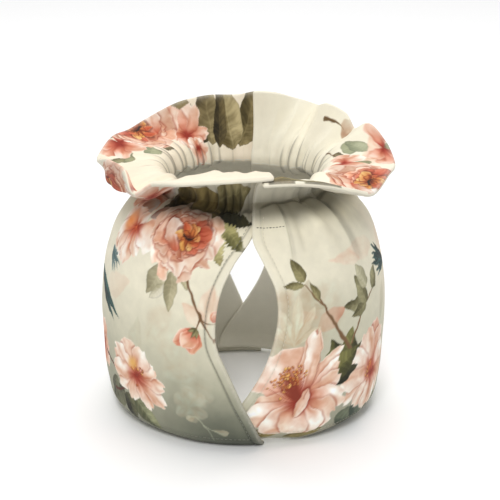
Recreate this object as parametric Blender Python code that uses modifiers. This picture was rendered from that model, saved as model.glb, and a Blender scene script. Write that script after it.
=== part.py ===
"""Tea cosy for a round teapot: two padded cloth panels, each one piece from hem to frill.

The panels wrap the pot from the left and from the right. They lap over each other under the
spout, part round the spout and round the handle, and are drawn in to a gathered neck, above
which the same cloth stands out as a frill. The cosy is open at the base and stands on its hem.

Units are metres, +Z is up and the spout opening faces -Y. The origin is the middle of the base,
on the surface that the hem stands on. Angles run round +Z from the spout side towards +X.
The tables are in millimetres and degrees, as a pattern cutter writes them.
"""

import math

import bmesh
import bpy

MM = 0.001

# The cloth
THICKNESS = 0.003  # print, thin wadding and backing, sewn as one cloth
LAP_GAP = 0.0006  # air between two panels where one lies on the other
LAP_OVER = 0.0008  # how far the upper panel stands off the round
LAP_UNDER = LAP_OVER - THICKNESS - LAP_GAP

# The round that both panels follow, outside of the cloth: name, radius, height
BODY = [
    ("tucked under", 58.5, -8.0),
    ("hem", 76.5, 2.3),
    ("hem curve", 82.0, 7.3),
    ("low side", 85.3, 20.0),
    ("side", 87.2, 45.0),
    ("widest", 87.6, 72.0),
    ("high side", 82.8, 104.0),
    ("shoulder", 73.6, 124.5),
    ("shoulder top", 65.0, 134.0),
    ("neck slope", 56.5, 139.0),
    ("neck", 50.0, 142.0),
    ("frill foot", 51.5, 147.5),
]
# Grid steps between each row of BODY and the next, then on to the frill's middle and its rim
STEPS = [1, 1, 2, 2, 3, 3, 3, 2, 2, 2, 2, 3, 3]

# The frill, a row for each crest, dip and corner of its waves: place, angle, radius and height
# of its middle, radius and height of its rim
FRILL = [
    ("front", 0, 70.5, 160.0, 85.8, 161.0),
    ("front swell", 15, 70.5, 160.0, 85.6, 161.8),
    ("slope", 34, 73.0, 155.5, 87.8, 157.5),
    ("slope to the corner", 43, 74.0, 150.5, 89.5, 152.3),
    ("front right corner", 54, 74.5, 147.0, 90.2, 146.6),
    ("slope", 70, 73.5, 152.0, 90.0, 152.0),
    ("right tip", 85, 74.0, 154.5, 90.4, 153.0),
    ("slope", 94, 71.0, 159.5, 86.5, 162.0),
    ("right lobe", 101, 67.5, 161.5, 79.5, 171.0),
    ("deep fold", 112, 66.5, 158.0, 75.0, 165.0),
    ("slope", 120, 63.0, 161.5, 74.0, 173.0),
    ("crest", 128, 61.0, 162.5, 70.4, 177.0),
    ("dip", 142, 64.5, 160.0, 77.5, 171.2),
    ("slope", 152, 61.5, 161.5, 73.0, 175.0),
    ("back crest", 165, 57.2, 163.2, 61.0, 182.5),
    ("back", 173, 57.5, 163.5, 61.5, 182.0),
    ("back dip", 182, 60.0, 162.5, 67.0, 178.7),
    ("back left", 201, 59.5, 162.5, 66.6, 179.0),
    ("slope", 214, 63.5, 160.5, 73.4, 174.8),
    ("slope", 226, 68.0, 156.5, 83.4, 165.0),
    ("left hollow", 237, 71.5, 154.0, 86.8, 159.2),
    ("left crest", 249, 72.0, 155.0, 87.0, 159.0),
    ("slope", 262, 75.0, 150.5, 88.6, 153.0),
    ("left tip", 274, 79.0, 149.0, 87.8, 154.2),
    ("left turn-up", 290, 86.0, 150.0, 85.8, 161.3),
    ("slope", 304, 86.0, 149.5, 85.4, 161.6),
    ("left corner", 317, 77.5, 146.5, 90.0, 150.5),
    ("slope", 325, 72.0, 154.0, 87.4, 158.2),
    ("front left", 340, 70.5, 159.5, 86.8, 159.2),
]
FRILL_ALL_ROUND = [
    (row[1] + turn, *row[2:])
    for turn, rows in ((-360, FRILL[-2:]), (0, FRILL), (360, FRILL[:2]))
    for row in rows
]

# The panels' front edges: height up the cloth from the hem, angle of the left panel's edge,
# angle of the right panel's edge. They cross below the spout and again above it. The back
# edges, round the handle, are the same ones seen in a mirror.
EDGES = [
    (-13, 11.5, -18.0),
    (-3, 8.5, -13.5),
    (12, 4.8, -9.0),
    (30, -0.7, -0.1),
    (51, -6.6, 8.5),
    (68, -11.0, 12.4),
    (85, -11.4, 14.2),
    (102, -9.3, 13.2),
    (117, -4.6, 9.0),
    (130, 1.8, 5.2),
    (144, 7.8, 5.8),
    (157, 10.0, 7.5),
    (230, 10.0, 7.5),
]
LAP_CHANGES_FROM = 0.055  # up the cloth: below this the left panel is the outer one in front
LAP_CHANGES_TO = 0.115  # above this the right panel is the outer one in front
LAP_FULL = 24.0  # degrees in from an edge where the panel keeps its full shift
LAP_ENDS = 44.0  # degrees in from an edge where the panel is back on the round

# The gathers that the neck elastic draws in
GATHERS = 22
GATHER_DEPTH = 0.0011
GATHER_REACH = 0.017  # up and down the cloth from the neck
GATHERS_END = (14.0, 30.0)  # degrees from a panel's edge: none, and full depth

# Soft folds that fan down from the neck: angle at the neck, angle at the lower end, height up
# the cloth of the lower end, half width in degrees, and how far the fold stands out
FOLDS = [
    (19, 24, 118, 5, 1.2),
    (35, 46, 96, 6, 1.5),
    (60, 66, 108, 7, 0.9),
    (83, 92, 100, 8, 1.3),
    (112, 115, 112, 7, 1.0),
    (134, 128, 98, 8, 1.4),
    (158, 152, 110, 6, 1.0),
    (203, 209, 104, 7, 1.2),
    (228, 226, 112, 7, 1.0),
    (251, 244, 96, 8, 1.4),
    (277, 271, 108, 7, 1.0),
    (299, 291, 100, 7, 1.4),
    (323, 316, 112, 6, 0.9),
    (343, 338, 106, 6, 0.8),
]

COLUMNS = 46  # grid steps round each panel
FLOOR_SIDE = 0.3  # the block that trims the hem flat


def clamp01(value):
    return max(0.0, min(1.0, value))


def smooth_step(start, end, value):
    """0 before start, 1 after end, and an eased change between them."""
    share = clamp01((value - start) / (end - start))
    return share * share * (3 - 2 * share)


def along_points(points, span, share):
    """The point at that share of one span of a smooth curve through the points."""

    def gap(i):
        return math.dist(points[i], points[i + 1])

    def slope(i):
        if i == 0 or i == len(points) - 1:
            near = min(i, len(points) - 2)
            return [(b - a) / gap(near) for a, b in zip(points[near], points[near + 1])]
        before, after = gap(i - 1), gap(i)
        return [
            ((b - a) / before * after + (c - b) / after * before) / (before + after)
            for a, b, c in zip(points[i - 1], points[i], points[i + 1])
        ]

    first, last, size = slope(span), slope(span + 1), gap(span)
    s = share
    weights = (
        2 * s**3 - 3 * s**2 + 1,
        (s**3 - 2 * s**2 + s) * size,
        3 * s**2 - 2 * s**3,
        (s**3 - s**2) * size,
    )
    parts = (points[span], first, points[span + 1], last)
    return [sum(w * part[axis] for w, part in zip(weights, parts)) for axis in range(len(first))]


def table_at(rows, value):
    """The other columns of a table at that value of its first column, eased between rows."""
    span = max(i for i in range(len(rows) - 1) if rows[i][0] <= value or i == 0)
    low, high = rows[span][0], rows[span + 1][0]
    share = clamp01((value - low) / (high - low))
    return along_points(rows, span, share)[1:]


def frill_at(angle):
    """Middle radius and height, rim radius and height of the frill at an angle in degrees."""
    return table_at(FRILL_ALL_ROUND, angle % 360)


def meridian(angle):
    """The (radius, height) points of the cloth's outside, from below the hem to the rim."""
    middle_radius, middle_height, rim_radius, rim_height = frill_at(angle)
    points = [(radius, height) for _, radius, height in BODY]
    points += [(middle_radius, middle_height), (rim_radius, rim_height)]
    return [(radius * MM, height * MM) for radius, height in points]


def cloth_heights():
    """How far up the cloth from the hem each grid row lies, measured at the side."""
    points = meridian(90)
    places = row_places()
    line = [along_points(points, span, share) for span, share in places]
    heights = [0.0]
    for before, after in zip(line, line[1:]):
        heights.append(heights[-1] + math.dist(before, after))
    hem = heights[STEPS[0]]
    return [height - hem for height in heights]


def row_places():
    """Each grid row as (span of the meridian, share of that span)."""
    places = [(span, step / steps) for span, steps in enumerate(STEPS) for step in range(steps)]
    return places + [(len(STEPS) - 1, 1.0)]


ROWS = row_places()
UP_THE_CLOTH = cloth_heights()
NECK_HEIGHT = UP_THE_CLOTH[sum(STEPS[:10])]


def gather(angle, up, from_edge):
    """How far a gather lifts the cloth outwards."""
    turn = math.radians(angle)
    wave = math.cos(GATHERS * turn + 0.7 * math.sin(3 * turn)) + 0.35 * math.cos(9 * turn + 1.0)
    near_neck = math.exp(-(((up - NECK_HEIGHT) / GATHER_REACH) ** 2))
    return GATHER_DEPTH * wave * near_neck * smooth_step(*GATHERS_END, from_edge)


def folds(angle, up):
    """How far the soft folds lift the cloth outwards."""
    lift = 0.0
    for neck_angle, low_angle, low_end, half_width, height in FOLDS:
        down = (NECK_HEIGHT - up) / (NECK_HEIGHT - low_end * MM)
        if 0 < down < 1:
            middle = neck_angle + (low_angle - neck_angle) * down
            away = (angle % 360 - middle) / (half_width * (0.6 + 0.4 * down))
            lift += height * MM * math.exp(-(away**2)) * math.sin(math.pi * down**0.7)
    return lift


def lap(side, up, from_front, from_back):
    """How far a panel is shifted outwards to lie over or under the other one."""
    left_over = 1 - smooth_step(LAP_CHANGES_FROM, LAP_CHANGES_TO, up)
    front_over = left_over if side < 0 else 1 - left_over
    back_over = 1 if side < 0 else 0
    front = LAP_UNDER + (LAP_OVER - LAP_UNDER) * front_over
    back = LAP_UNDER + (LAP_OVER - LAP_UNDER) * back_over
    near_front = 1 - smooth_step(LAP_FULL, LAP_ENDS, from_front)
    near_back = 1 - smooth_step(LAP_FULL, LAP_ENDS, from_back)
    return front * near_front + back * near_back


def on_round(angle, row):
    """A point on the round that both panels follow."""
    span, share = ROWS[row]
    radius, height = along_points(meridian(angle), span, share)
    turn = math.radians(angle)
    return (radius * math.sin(turn), -radius * math.cos(turn), height)


def outward(angle, row):
    """The round's outward direction at a grid point."""
    step = 0.4
    low, high = max(row - 1, 0), min(row + 1, len(ROWS) - 1)
    across = [b - a for a, b in zip(on_round(angle - step, row), on_round(angle + step, row))]
    upward = [b - a for a, b in zip(on_round(angle, low), on_round(angle, high))]
    cross = (
        across[1] * upward[2] - across[2] * upward[1],
        across[2] * upward[0] - across[0] * upward[2],
        across[0] * upward[1] - across[1] * upward[0],
    )
    size = math.hypot(*cross)
    return [value / size for value in cross]


def panel_point(side, share, row):
    """A point of a panel's outside. Side is 1 on the right and -1 on the left."""
    up = UP_THE_CLOTH[row]
    left_edge, right_edge = table_at(EDGES, up / MM)
    edge = right_edge if side > 0 else -left_edge
    sweep = 180 - 2 * edge
    angle = side * (edge + share * sweep)
    from_front, from_back = share * sweep, (1 - share) * sweep
    lift = gather(angle, up, min(from_front, from_back)) + folds(angle, up)
    lift += lap(side, up, from_front, from_back)
    place, direction = on_round(angle, row), outward(angle, row)
    return [a + lift * b for a, b in zip(place, direction)]


def floor_cutter(collection):
    """A block whose top is the surface that the cosy stands on."""
    bpy.ops.mesh.primitive_cube_add(size=FLOOR_SIDE, location=(0, 0, -FLOOR_SIDE / 2))
    block = bpy.context.object
    block.name = "floor_cutter"
    block.hide_render = True
    block.display_type = "WIRE"
    move_to(block, collection)
    return block


def move_to(obj, collection):
    for old in obj.users_collection:
        old.objects.unlink(obj)
    collection.objects.link(obj)


def printed_cloth(name, colour):
    material = bpy.data.materials.new(name)
    material.use_nodes = True
    shader = material.node_tree.nodes["Principled BSDF"]
    shader.inputs["Base Color"].default_value = (*colour, 1)
    shader.inputs["Roughness"].default_value = 0.85
    shader.inputs["Metallic"].default_value = 0.0
    return material


def panel(name, side, material, cutter, collection):
    """One panel: a flat grid laid on the round, given the cloth's thickness and a flat hem."""
    grid = bmesh.new()
    bmesh.ops.create_grid(grid, x_segments=COLUMNS, y_segments=len(ROWS) - 1, size=1.0)
    for vertex in grid.verts:
        share = (vertex.co.x + 1) / 2
        row = round((vertex.co.y + 1) / 2 * (len(ROWS) - 1))
        vertex.co = panel_point(side, share if side > 0 else 1 - share, row)
    mesh = bpy.data.meshes.new(name)
    grid.to_mesh(mesh)
    grid.free()
    mesh.materials.append(material)
    cloth = bpy.data.objects.new(name, mesh)
    collection.objects.link(cloth)
    thicken = cloth.modifiers.new("Cloth thickness", "SOLIDIFY")
    thicken.thickness = THICKNESS
    thicken.offset = -1
    trim = cloth.modifiers.new("Flat hem", "BOOLEAN")
    trim.operation = "DIFFERENCE"
    trim.object = cutter
    return cloth


def main():
    for obj in list(bpy.data.objects):
        bpy.data.objects.remove(obj)
    scene = bpy.context.scene
    cosy = bpy.data.collections.new("Tea cosy")
    cutters = bpy.data.collections.new("Cutters")
    scene.collection.children.link(cosy)
    scene.collection.children.link(cutters)
    cutter = floor_cutter(cutters)
    panel("panel_left", -1, printed_cloth("Printed cloth, left", (0.78, 0.73, 0.62)), cutter, cosy)
    panel("panel_right", 1, printed_cloth("Printed cloth, right", (0.82, 0.79, 0.68)), cutter, cosy)


main()
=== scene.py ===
"""A printed cloth tea cosy, dressed over its solid model."""

import math

import bpy
import numpy as np
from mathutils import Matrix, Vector


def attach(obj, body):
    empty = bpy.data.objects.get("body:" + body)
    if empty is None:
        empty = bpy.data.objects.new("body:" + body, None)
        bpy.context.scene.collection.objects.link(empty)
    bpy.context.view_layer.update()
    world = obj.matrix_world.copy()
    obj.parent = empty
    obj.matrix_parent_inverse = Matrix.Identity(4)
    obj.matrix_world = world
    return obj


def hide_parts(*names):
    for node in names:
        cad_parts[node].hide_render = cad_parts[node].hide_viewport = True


# %% [markdown]
# # A printed cloth tea cosy
#
# The solid model gives two plain panels that wrap a round teapot. This lesson dresses them:
# fine cloth with gathers, hems and a wavy frill, a flower print that is painted in code on the
# flat cloth, sewing made with Geometry Nodes, then a studio to look at it in.

# %% Load the solid model
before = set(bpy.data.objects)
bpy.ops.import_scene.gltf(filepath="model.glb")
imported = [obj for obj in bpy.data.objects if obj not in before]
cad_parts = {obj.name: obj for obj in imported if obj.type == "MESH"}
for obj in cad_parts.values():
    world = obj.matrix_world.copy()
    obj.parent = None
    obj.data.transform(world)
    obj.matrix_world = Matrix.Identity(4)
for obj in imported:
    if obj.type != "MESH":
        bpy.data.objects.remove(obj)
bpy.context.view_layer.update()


# %% [markdown]
# ## The camera
#
# The cosy is seen from a little above, through a long lens, so that its round stays round. The
# camera comes first, because everything that follows is judged through it.

# %% Camera
CAMERA_PLACE = (0, -0.8927, 0.3949)  # 0.95 m from the middle of the cosy, 20 degrees up
CAMERA_TILT, CAMERA_TURN = 71.5278, -0.2603  # degrees; they set the cosy a little off the middle
LENS, SENSOR = 109.584, 36  # millimetres


def placed(name, data):
    """A new object of that data, in the scene."""
    made = bpy.data.objects.new(name, data)
    bpy.context.scene.collection.objects.link(made)
    return made


lens = bpy.data.cameras.new("Studio camera")
lens.lens, lens.sensor_width = LENS, SENSOR
camera = placed("Studio camera", lens)
camera.location = CAMERA_PLACE
camera.rotation_euler = (math.radians(CAMERA_TILT), 0, math.radians(CAMERA_TURN))
bpy.context.scene.camera = camera
print("camera", [round(x, 3) for x in camera.location])


# %% [markdown]
# ## The shape of the cloth
#
# A tea cosy of this kind is two printed panels that wrap a round pot. A panel could be modelled
# by pulling vertices about, but its shape follows a rule: a turned profile, drawn in at the neck,
# that opens out again in a wavy frill. So the shape is written as tables in millimetres and
# degrees, and a smooth curve is run through each table. The same tables shape the solid model,
# so the fine cloth lies where the solid is. Angles run round the pot from the spout side, to
# the right.

# %% Tables of the round, the frill and the panels' edges
MM = 0.001
THICKNESS = 0.003  # print, thin wadding and backing
LAP_GAP = 0.0006  # air between two panels where one lies on the other
LAP_OVER = 0.0008  # how far the upper panel stands off the round
LAP_UNDER = LAP_OVER - THICKNESS - LAP_GAP
LAP_CHANGES = (55, 115)  # up the cloth: the left panel is in front below these, the right above
LAP_FULL, LAP_ENDS = 24, 44  # degrees in from an edge: the full shift, and back on the round

BODY = np.array([  # radius and height of the cloth's outside, from under the hem to the frill
    (58.5, -8.0),
    (76.5, 2.3),  # hem
    (82.0, 7.3),
    (85.3, 20.0),
    (87.2, 45.0),
    (87.6, 72.0),  # widest
    (82.8, 104.0),
    (73.6, 124.5),  # shoulder
    (65.0, 134.0),
    (56.5, 139.0),
    (50.0, 142.0),  # neck
    (51.5, 147.5),  # foot of the frill
])
FRILL = [  # angle, radius and height of the frill's middle, radius and height of its rim
    (0, 70.5, 160.0, 85.8, 161.0),  # front
    (15, 70.5, 160.0, 85.6, 161.8),
    (34, 73.0, 155.5, 87.8, 157.5),
    (43, 74.0, 150.5, 89.5, 152.3),
    (54, 74.5, 147.0, 90.2, 146.6),  # front right corner
    (70, 73.5, 152.0, 90.0, 152.0),
    (85, 74.0, 154.5, 90.4, 153.0),  # right tip
    (94, 71.0, 159.5, 86.5, 162.0),
    (101, 67.5, 161.5, 79.5, 171.0),
    (112, 66.5, 158.0, 75.0, 165.0),  # deep fold
    (120, 63.0, 161.5, 74.0, 173.0),
    (128, 61.0, 162.5, 70.4, 177.0),
    (142, 64.5, 160.0, 77.5, 171.2),
    (152, 61.5, 161.5, 73.0, 175.0),
    (165, 57.2, 163.2, 61.0, 182.5),  # back crest
    (173, 57.5, 163.5, 61.5, 182.0),
    (182, 60.0, 162.5, 67.0, 178.7),
    (201, 59.5, 162.5, 66.6, 179.0),
    (214, 63.5, 160.5, 73.4, 174.8),
    (226, 68.0, 156.5, 83.4, 165.0),
    (237, 71.5, 154.0, 86.8, 159.2),
    (249, 72.0, 155.0, 87.0, 159.0),
    (262, 75.0, 150.5, 88.6, 153.0),
    (274, 79.0, 149.0, 87.8, 154.2),  # left tip
    (290, 86.0, 150.0, 85.8, 161.3),
    (304, 86.0, 149.5, 85.4, 161.6),
    (317, 77.5, 146.5, 90.0, 150.5),  # front left corner
    (325, 72.0, 154.0, 87.4, 158.2),
    (340, 70.5, 159.5, 86.8, 159.2),
]
FRILL_ALL_ROUND = np.array([
    (row[0] + turn, *row[1:])
    for turn, rows in ((-360, FRILL[-2:]), (0, FRILL), (360, FRILL[:2]))
    for row in rows
])
EDGES = np.array([  # height up the cloth, angle of the left panel's edge and of the right one's
    (-13, 11.5, -18.0),
    (-3, 8.5, -13.5),
    (12, 4.8, -9.0),
    (30, -0.7, -0.1),
    (51, -6.6, 8.5),
    (68, -11.0, 12.4),
    (85, -11.4, 14.2),
    (102, -9.3, 13.2),
    (117, -4.6, 9.0),
    (130, 1.8, 5.2),
    (144, 7.8, 5.8),
    (157, 10.0, 7.5),
    (230, 10.0, 7.5),
])
NECK, RIM = 10, len(BODY) + 1  # numbers of the neck's point and the rim's along the profile
print("profile points:", RIM + 1, "| frill points:", len(FRILL), "| edge points:", len(EDGES))


# %% A smooth curve through a table
def smooth_step(start, end, value):
    """0 before start, 1 after end, and an eased change between them."""
    share = np.clip((value - start) / (end - start), 0, 1)
    return share * share * (3 - 2 * share)


def hill(value, middle, width):
    """1 at the middle, falling softly to 0 on both sides."""
    return np.exp(-(((value - middle) / width) ** 2))


def curve_through(point, last, span, share):
    """Where a smooth curve is, at a share of a span; point(i) gives its points number i."""
    before, start, end, after = (point(np.clip(span + k, 0, last)) for k in (-1, 0, 1, 2))

    def run(p, q):
        return np.maximum(np.linalg.norm(q - p, axis=-1, keepdims=True), 1e-9)

    one, two, three = run(before, start), run(start, end), run(end, after)
    straight = (end - start) / two
    into = ((start - before) / one * two + straight * one) / (one + two)
    out = (straight * three + (after - end) / three * two) / (two + three)
    into = np.where((span == 0)[..., None], straight, into)
    out = np.where((span == last - 1)[..., None], straight, out)
    s = share[..., None]
    return (
        (2 * s**3 - 3 * s**2 + 1) * start
        + (s**3 - 2 * s**2 + s) * two * into
        + (3 * s**2 - 2 * s**3) * end
        + (s**3 - s**2) * two * out
    )


def table_at(rows, value):
    """The other columns of a table at those values of its first column."""
    span = np.clip(np.searchsorted(rows[:, 0], value, side="right") - 1, 0, len(rows) - 2)
    low, high = rows[span, 0], rows[span + 1, 0]
    share = np.clip((value - low) / (high - low), 0, 1)
    return curve_through(lambda i: rows[i], len(rows) - 1, span, share)[..., 1:]


def panel_edge(side, up):
    """The angle of a panel's front edge, counted towards the panel's own side."""
    edges = table_at(EDGES, up)
    return edges[..., 1] if side > 0 else -edges[..., 0]


print("edges at mid height:", table_at(EDGES, np.array([68.0])).round(1).tolist())


# %% The round itself, and the way out of it
def on_round(angle, along):
    """Points on the round. along counts the profile's points, from 0 under the hem to RIM."""
    frill = table_at(FRILL_ALL_ROUND, angle % 360)

    def point(i):
        row = BODY[np.minimum(i, len(BODY) - 1)]
        row = np.where((i == RIM - 1)[..., None], frill[..., 0:2], row)
        return np.where((i == RIM)[..., None], frill[..., 2:4], row)

    span = np.clip(np.floor(along).astype(int), 0, RIM - 1)
    radius, height = np.moveaxis(curve_through(point, RIM, span, along - span), -1, 0)
    turn = np.radians(angle)
    return np.stack([radius * np.sin(turn), -radius * np.cos(turn), height], -1) * MM


def outward(angle, along):
    """The round's outward direction, from the slopes across and up the cloth."""
    across = on_round(angle + 0.4, along) - on_round(angle - 0.4, along)
    low, high = np.maximum(along - 0.12, 0), np.minimum(along + 0.12, RIM)
    normal = np.cross(across, on_round(angle, high) - on_round(angle, low))
    return normal / np.linalg.norm(normal, axis=-1, keepdims=True)


profile = np.linspace(0, RIM, 40 * RIM + 1)
side_line = on_round(np.full_like(profile, 90.0), profile)
run_up = np.concatenate([[0], np.cumsum(np.linalg.norm(np.diff(side_line, axis=0), axis=1))]) / MM
run_up -= np.interp(1, profile, run_up)
NECK_UP = float(np.interp(NECK, profile, run_up))
RIM_UP = float(run_up[-1])
print(f"cloth from hem to neck {NECK_UP:.0f} mm, to the rim {RIM_UP:.0f} mm")


# %% [markdown]
# Cloth that is drawn in and wrapped round a pot isn't smooth. The elastic in the neck pulls it
# into gathers, soft folds fan down from them over the shoulder, and a panel is pushed in or out
# where the other one laps over it. Each is a small lift along the outward direction, so they can
# simply be added up. The gathers are the cusped kind that real cloth makes: round on top, with a
# narrow crease between each pair.

# %% Lifts: laps, gathers and folds
GATHERS, GATHER_DEPTH, GATHER_REACH = 22, 1.1, 17  # how many, and their size in millimetres
FOLDS = [  # angle at the neck, angle and height at the lower end, half width, height of the fold
    (19, 24, 118, 5, 1.2),
    (35, 46, 96, 6, 1.5),
    (60, 66, 108, 7, 0.9),
    (83, 92, 100, 8, 1.3),
    (112, 115, 112, 7, 1.0),
    (134, 128, 98, 8, 1.4),
    (158, 152, 110, 6, 1.0),
    (203, 209, 104, 7, 1.2),
    (228, 226, 112, 7, 1.0),
    (251, 244, 96, 8, 1.4),
    (277, 271, 108, 7, 1.0),
    (299, 291, 100, 7, 1.4),
    (323, 316, 112, 6, 0.9),
    (343, 338, 106, 6, 0.8),
]


def lap(side, up, from_front, from_back):
    """How far a panel stands out or in, to lie over or under the other one, in metres."""
    left_over = 1 - smooth_step(*LAP_CHANGES, up)
    front_over = left_over if side < 0 else 1 - left_over
    front = LAP_UNDER + (LAP_OVER - LAP_UNDER) * front_over
    back = LAP_OVER if side < 0 else LAP_UNDER
    near_front = 1 - smooth_step(LAP_FULL, LAP_ENDS, from_front)
    near_back = 1 - smooth_step(LAP_FULL, LAP_ENDS, from_back)
    return front * near_front + back * near_back


def big_gathers(angle, up, from_edge):
    """The wide waves that the solid has too, in millimetres."""
    turn = np.radians(angle)
    wave = np.cos(GATHERS * turn + 0.7 * np.sin(3 * turn)) + 0.35 * np.cos(9 * turn + 1.0)
    reach = hill(up, NECK_UP, GATHER_REACH)
    return GATHER_DEPTH * wave * reach * smooth_step(14, 30, from_edge)


def folds(angle, up):
    """Soft folds from the neck down over the shoulder, in millimetres."""
    lift = np.zeros_like(up)
    for neck_angle, low_angle, low_end, half_width, height in FOLDS:
        down = (NECK_UP - up) / (NECK_UP - low_end)
        inside = (down > 0) & (down < 1)
        down = np.clip(down, 0, 1)
        middle = neck_angle + (low_angle - neck_angle) * down
        across = hill(angle % 360, middle, half_width * (0.6 + 0.4 * down))
        lift += inside * height * across * np.sin(np.pi * down**0.7)
    return lift


# %% [markdown]
# The finer lifts are only in the cloth that shows, not in the solid: narrow gathers between the
# wide ones, creases that run out into the frill, the turned hems along the panels' edges, and
# the slight unevenness of hand-laid cloth. The unevenness comes from smooth noise on a small
# grid of hashed numbers, so it is the same on every run.

# %% Smooth noise on the flat cloth
def hashed(i, j, seed):
    """A fixed number from 0 to 1 for each pair of whole numbers."""
    whole = 0xFFFFFFFF
    n = i.astype(np.int64) * 374761393 + j.astype(np.int64) * 668265263 + seed * 974634777
    n &= whole
    n = ((n ^ (n >> 13)) * 1274126177) & whole
    return ((n ^ (n >> 16)) & 0xFFFF) / 65535.0


def noise(x, y, size, seed=0):
    """Smooth noise from 0 to 1, in blobs about size across."""
    x, y = np.asarray(x) / size, np.asarray(y) / size
    i, j = np.floor(x), np.floor(y)
    a, b = x - i, y - j
    a, b = a * a * (3 - 2 * a), b * b * (3 - 2 * b)
    low = hashed(i, j, seed) * (1 - a) + hashed(i + 1, j, seed) * a
    high = hashed(i, j + 1, seed) * (1 - a) + hashed(i + 1, j + 1, seed) * a
    return low * (1 - b) + high * b


def noises(x, y, size, seed=0):
    """Smooth noise with two finer layers on it."""
    finer = ((1, 4), (2.1, 2), (4.3, 1))  # how much finer each layer is, and its weight
    return sum(noise(x, y, size / s, seed + k) * w for k, (s, w) in enumerate(finer)) / 7


# %% Fine relief of the printed side
FLAT = 88 * math.pi / 180  # millimetres of flat cloth to a degree round the pot
HEM_WIDTH = 4.6  # the turned hem along a panel's edge
HEM_LINE = 7.5  # height of the stitches above the bottom hem
HEM_ENDS = (NECK_UP - 12, NECK_UP - 2)  # where the hem along an edge fades out
PLEATS = [  # angle and height at the upper end, at the lower end, half width, height of the crest
    (36, 146, 40, 110, 7.0, 0.9),
    (28.5, 149, 27.5, 122, 3.2, -1.2),
    (-30, 143, -36, 124, 4.0, 0.8),
    (-48, 144, -53, 126, 4.5, 0.9),
    (-14, 144, -16, 132, 3.0, 0.6),
]


def from_spout(angle):
    """Degrees from the spout side, from -180 to 180."""
    return (angle + 180) % 360 - 180


def edge_scale(up):
    """Millimetres to a degree beside a panel's edge, fewer as the round narrows."""
    return FLAT * 0.95 * np.interp(up, [0, 105, 125, 140, NECK_UP], [1, 0.95, 0.83, 0.7, 0.57])


def ridge(angle, up, row):
    """A soft crest along a slanted line, in millimetres."""
    high_angle, high_up, low_angle, low_up, half_width, height = row
    ax, ay, bx, by = high_angle * FLAT, high_up, low_angle * FLAT, low_up
    x, y = from_spout(angle) * FLAT, up
    run = math.hypot(bx - ax, by - ay)
    along = ((x - ax) * (bx - ax) + (y - ay) * (by - ay)) / run**2
    away = ((x - ax) * (by - ay) - (y - ay) * (bx - ax)) / run
    ends = smooth_step(-0.25, 0.25, along) * (1 - smooth_step(0.7, 1.3, along))
    return height * hill(away, 0, half_width) * ends


def fine_gathers(angle, up, from_edge):
    """Narrow gathers at the neck, round on top and creased between."""
    turn = np.radians(angle)
    wave = np.abs(np.sin(25 * turn + 1.3 * np.sin(3 * turn + 0.4) + 0.7 * np.sin(8 * turn + 1)))
    reach = np.where(up < NECK_UP, 8.5, 17) * (0.45 + 1.1 * noise(angle, 0 * angle, 9, 5))
    depth = 0.5 + 1.7 * noise(angle, 0 * angle, 14, 6)
    front_right = smooth_step(4, 14, angle) * (1 - smooth_step(66, 84, angle))
    depth = depth * (1 - 0.72 * front_right)
    return depth * (wave - 0.7) * hill(up, NECK_UP, reach) * smooth_step(2, 12, from_edge)


def creases(angle, up):
    """Creases that start at the neck and run out over the frill, towards its rim."""
    turn = np.radians(angle)
    wave = np.abs(np.sin(13 * turn + 1.5 * np.sin(2 * turn + 1) + 0.8 * np.sin(5 * turn)))
    out = np.clip((up - NECK_UP) / (RIM_UP - NECK_UP), 0, 1)
    return 1.5 * (wave - 0.6) * np.sin(np.pi * out**0.8) * (0.4 + 0.9 * noise(angle, up, 25, 9))


def hems(side, up, from_front, from_back):
    """The turned hem along a panel's edges, below the neck, in millimetres."""
    away = np.minimum(from_front, from_back) * edge_scale(up)
    stitched = -0.45 * hill(away, HEM_WIDTH, 0.75)
    plump = 0.30 * smooth_step(HEM_WIDTH, HEM_WIDTH - 1.5, away)
    firm = 1.0 if side < 0 else 0.4  # the left panel's hem is the thicker one
    return firm * (stitched + plump) * (1 - smooth_step(*HEM_ENDS, up))


TUCKS = [  # angle and height at the upper end, at the lower end, height and width of the step
    (20.4, 151, 20.6, 108, 1.1, 0.7),
    (50.5, 148, 55.0, 100, 1.9, 3.2),
    (-36, 148, -41, 134, 0.7, 0.7),
    (96, 148, 104, 128, 0.9, 1.0),
    (-118, 148, -126, 130, 0.9, 1.0),
    (146, 148, 140, 126, 0.8, 1.0),
]


def beside_tuck(angle, up, row):
    """Millimetres past a tuck's step, and how far the tuck has faded towards its ends."""
    high_angle, high_up, low_angle, low_up = row[:4]
    down = (high_up - up) / (high_up - low_up)
    middle = high_angle + (low_angle - high_angle) * down
    away = (from_spout(angle) - middle) * FLAT * np.sign(high_angle)
    return away, smooth_step(-0.3, 0.1, down) * (1 - smooth_step(0.55, 1.05, down))


def tucks(angle, up):
    """Flat folds pressed into the cloth: a step on one side, a slow rise on the other."""
    lift = np.zeros_like(up)
    for row in TUCKS:
        away, ends = beside_tuck(angle, up, row)
        height, width = row[4:]
        step = 1 - smooth_step(-width, width, away)
        lift += height * ends * step * hill(np.minimum(away, 0), 0, 10)
    return lift


def channel(angle, up):
    """The scalloped lower edge of the elastic's channel, from 0 to 1."""
    turn = np.radians(angle)
    puffs = np.abs(np.sin(11 * turn + 0.9 * np.sin(4 * turn + 1) + 0.5 * np.sin(9 * turn)))
    middle = 149.5 + 5.0 * puffs**0.7 + 1.5 * np.sin(3 * turn)
    return hill(up, middle, 1.2)


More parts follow.
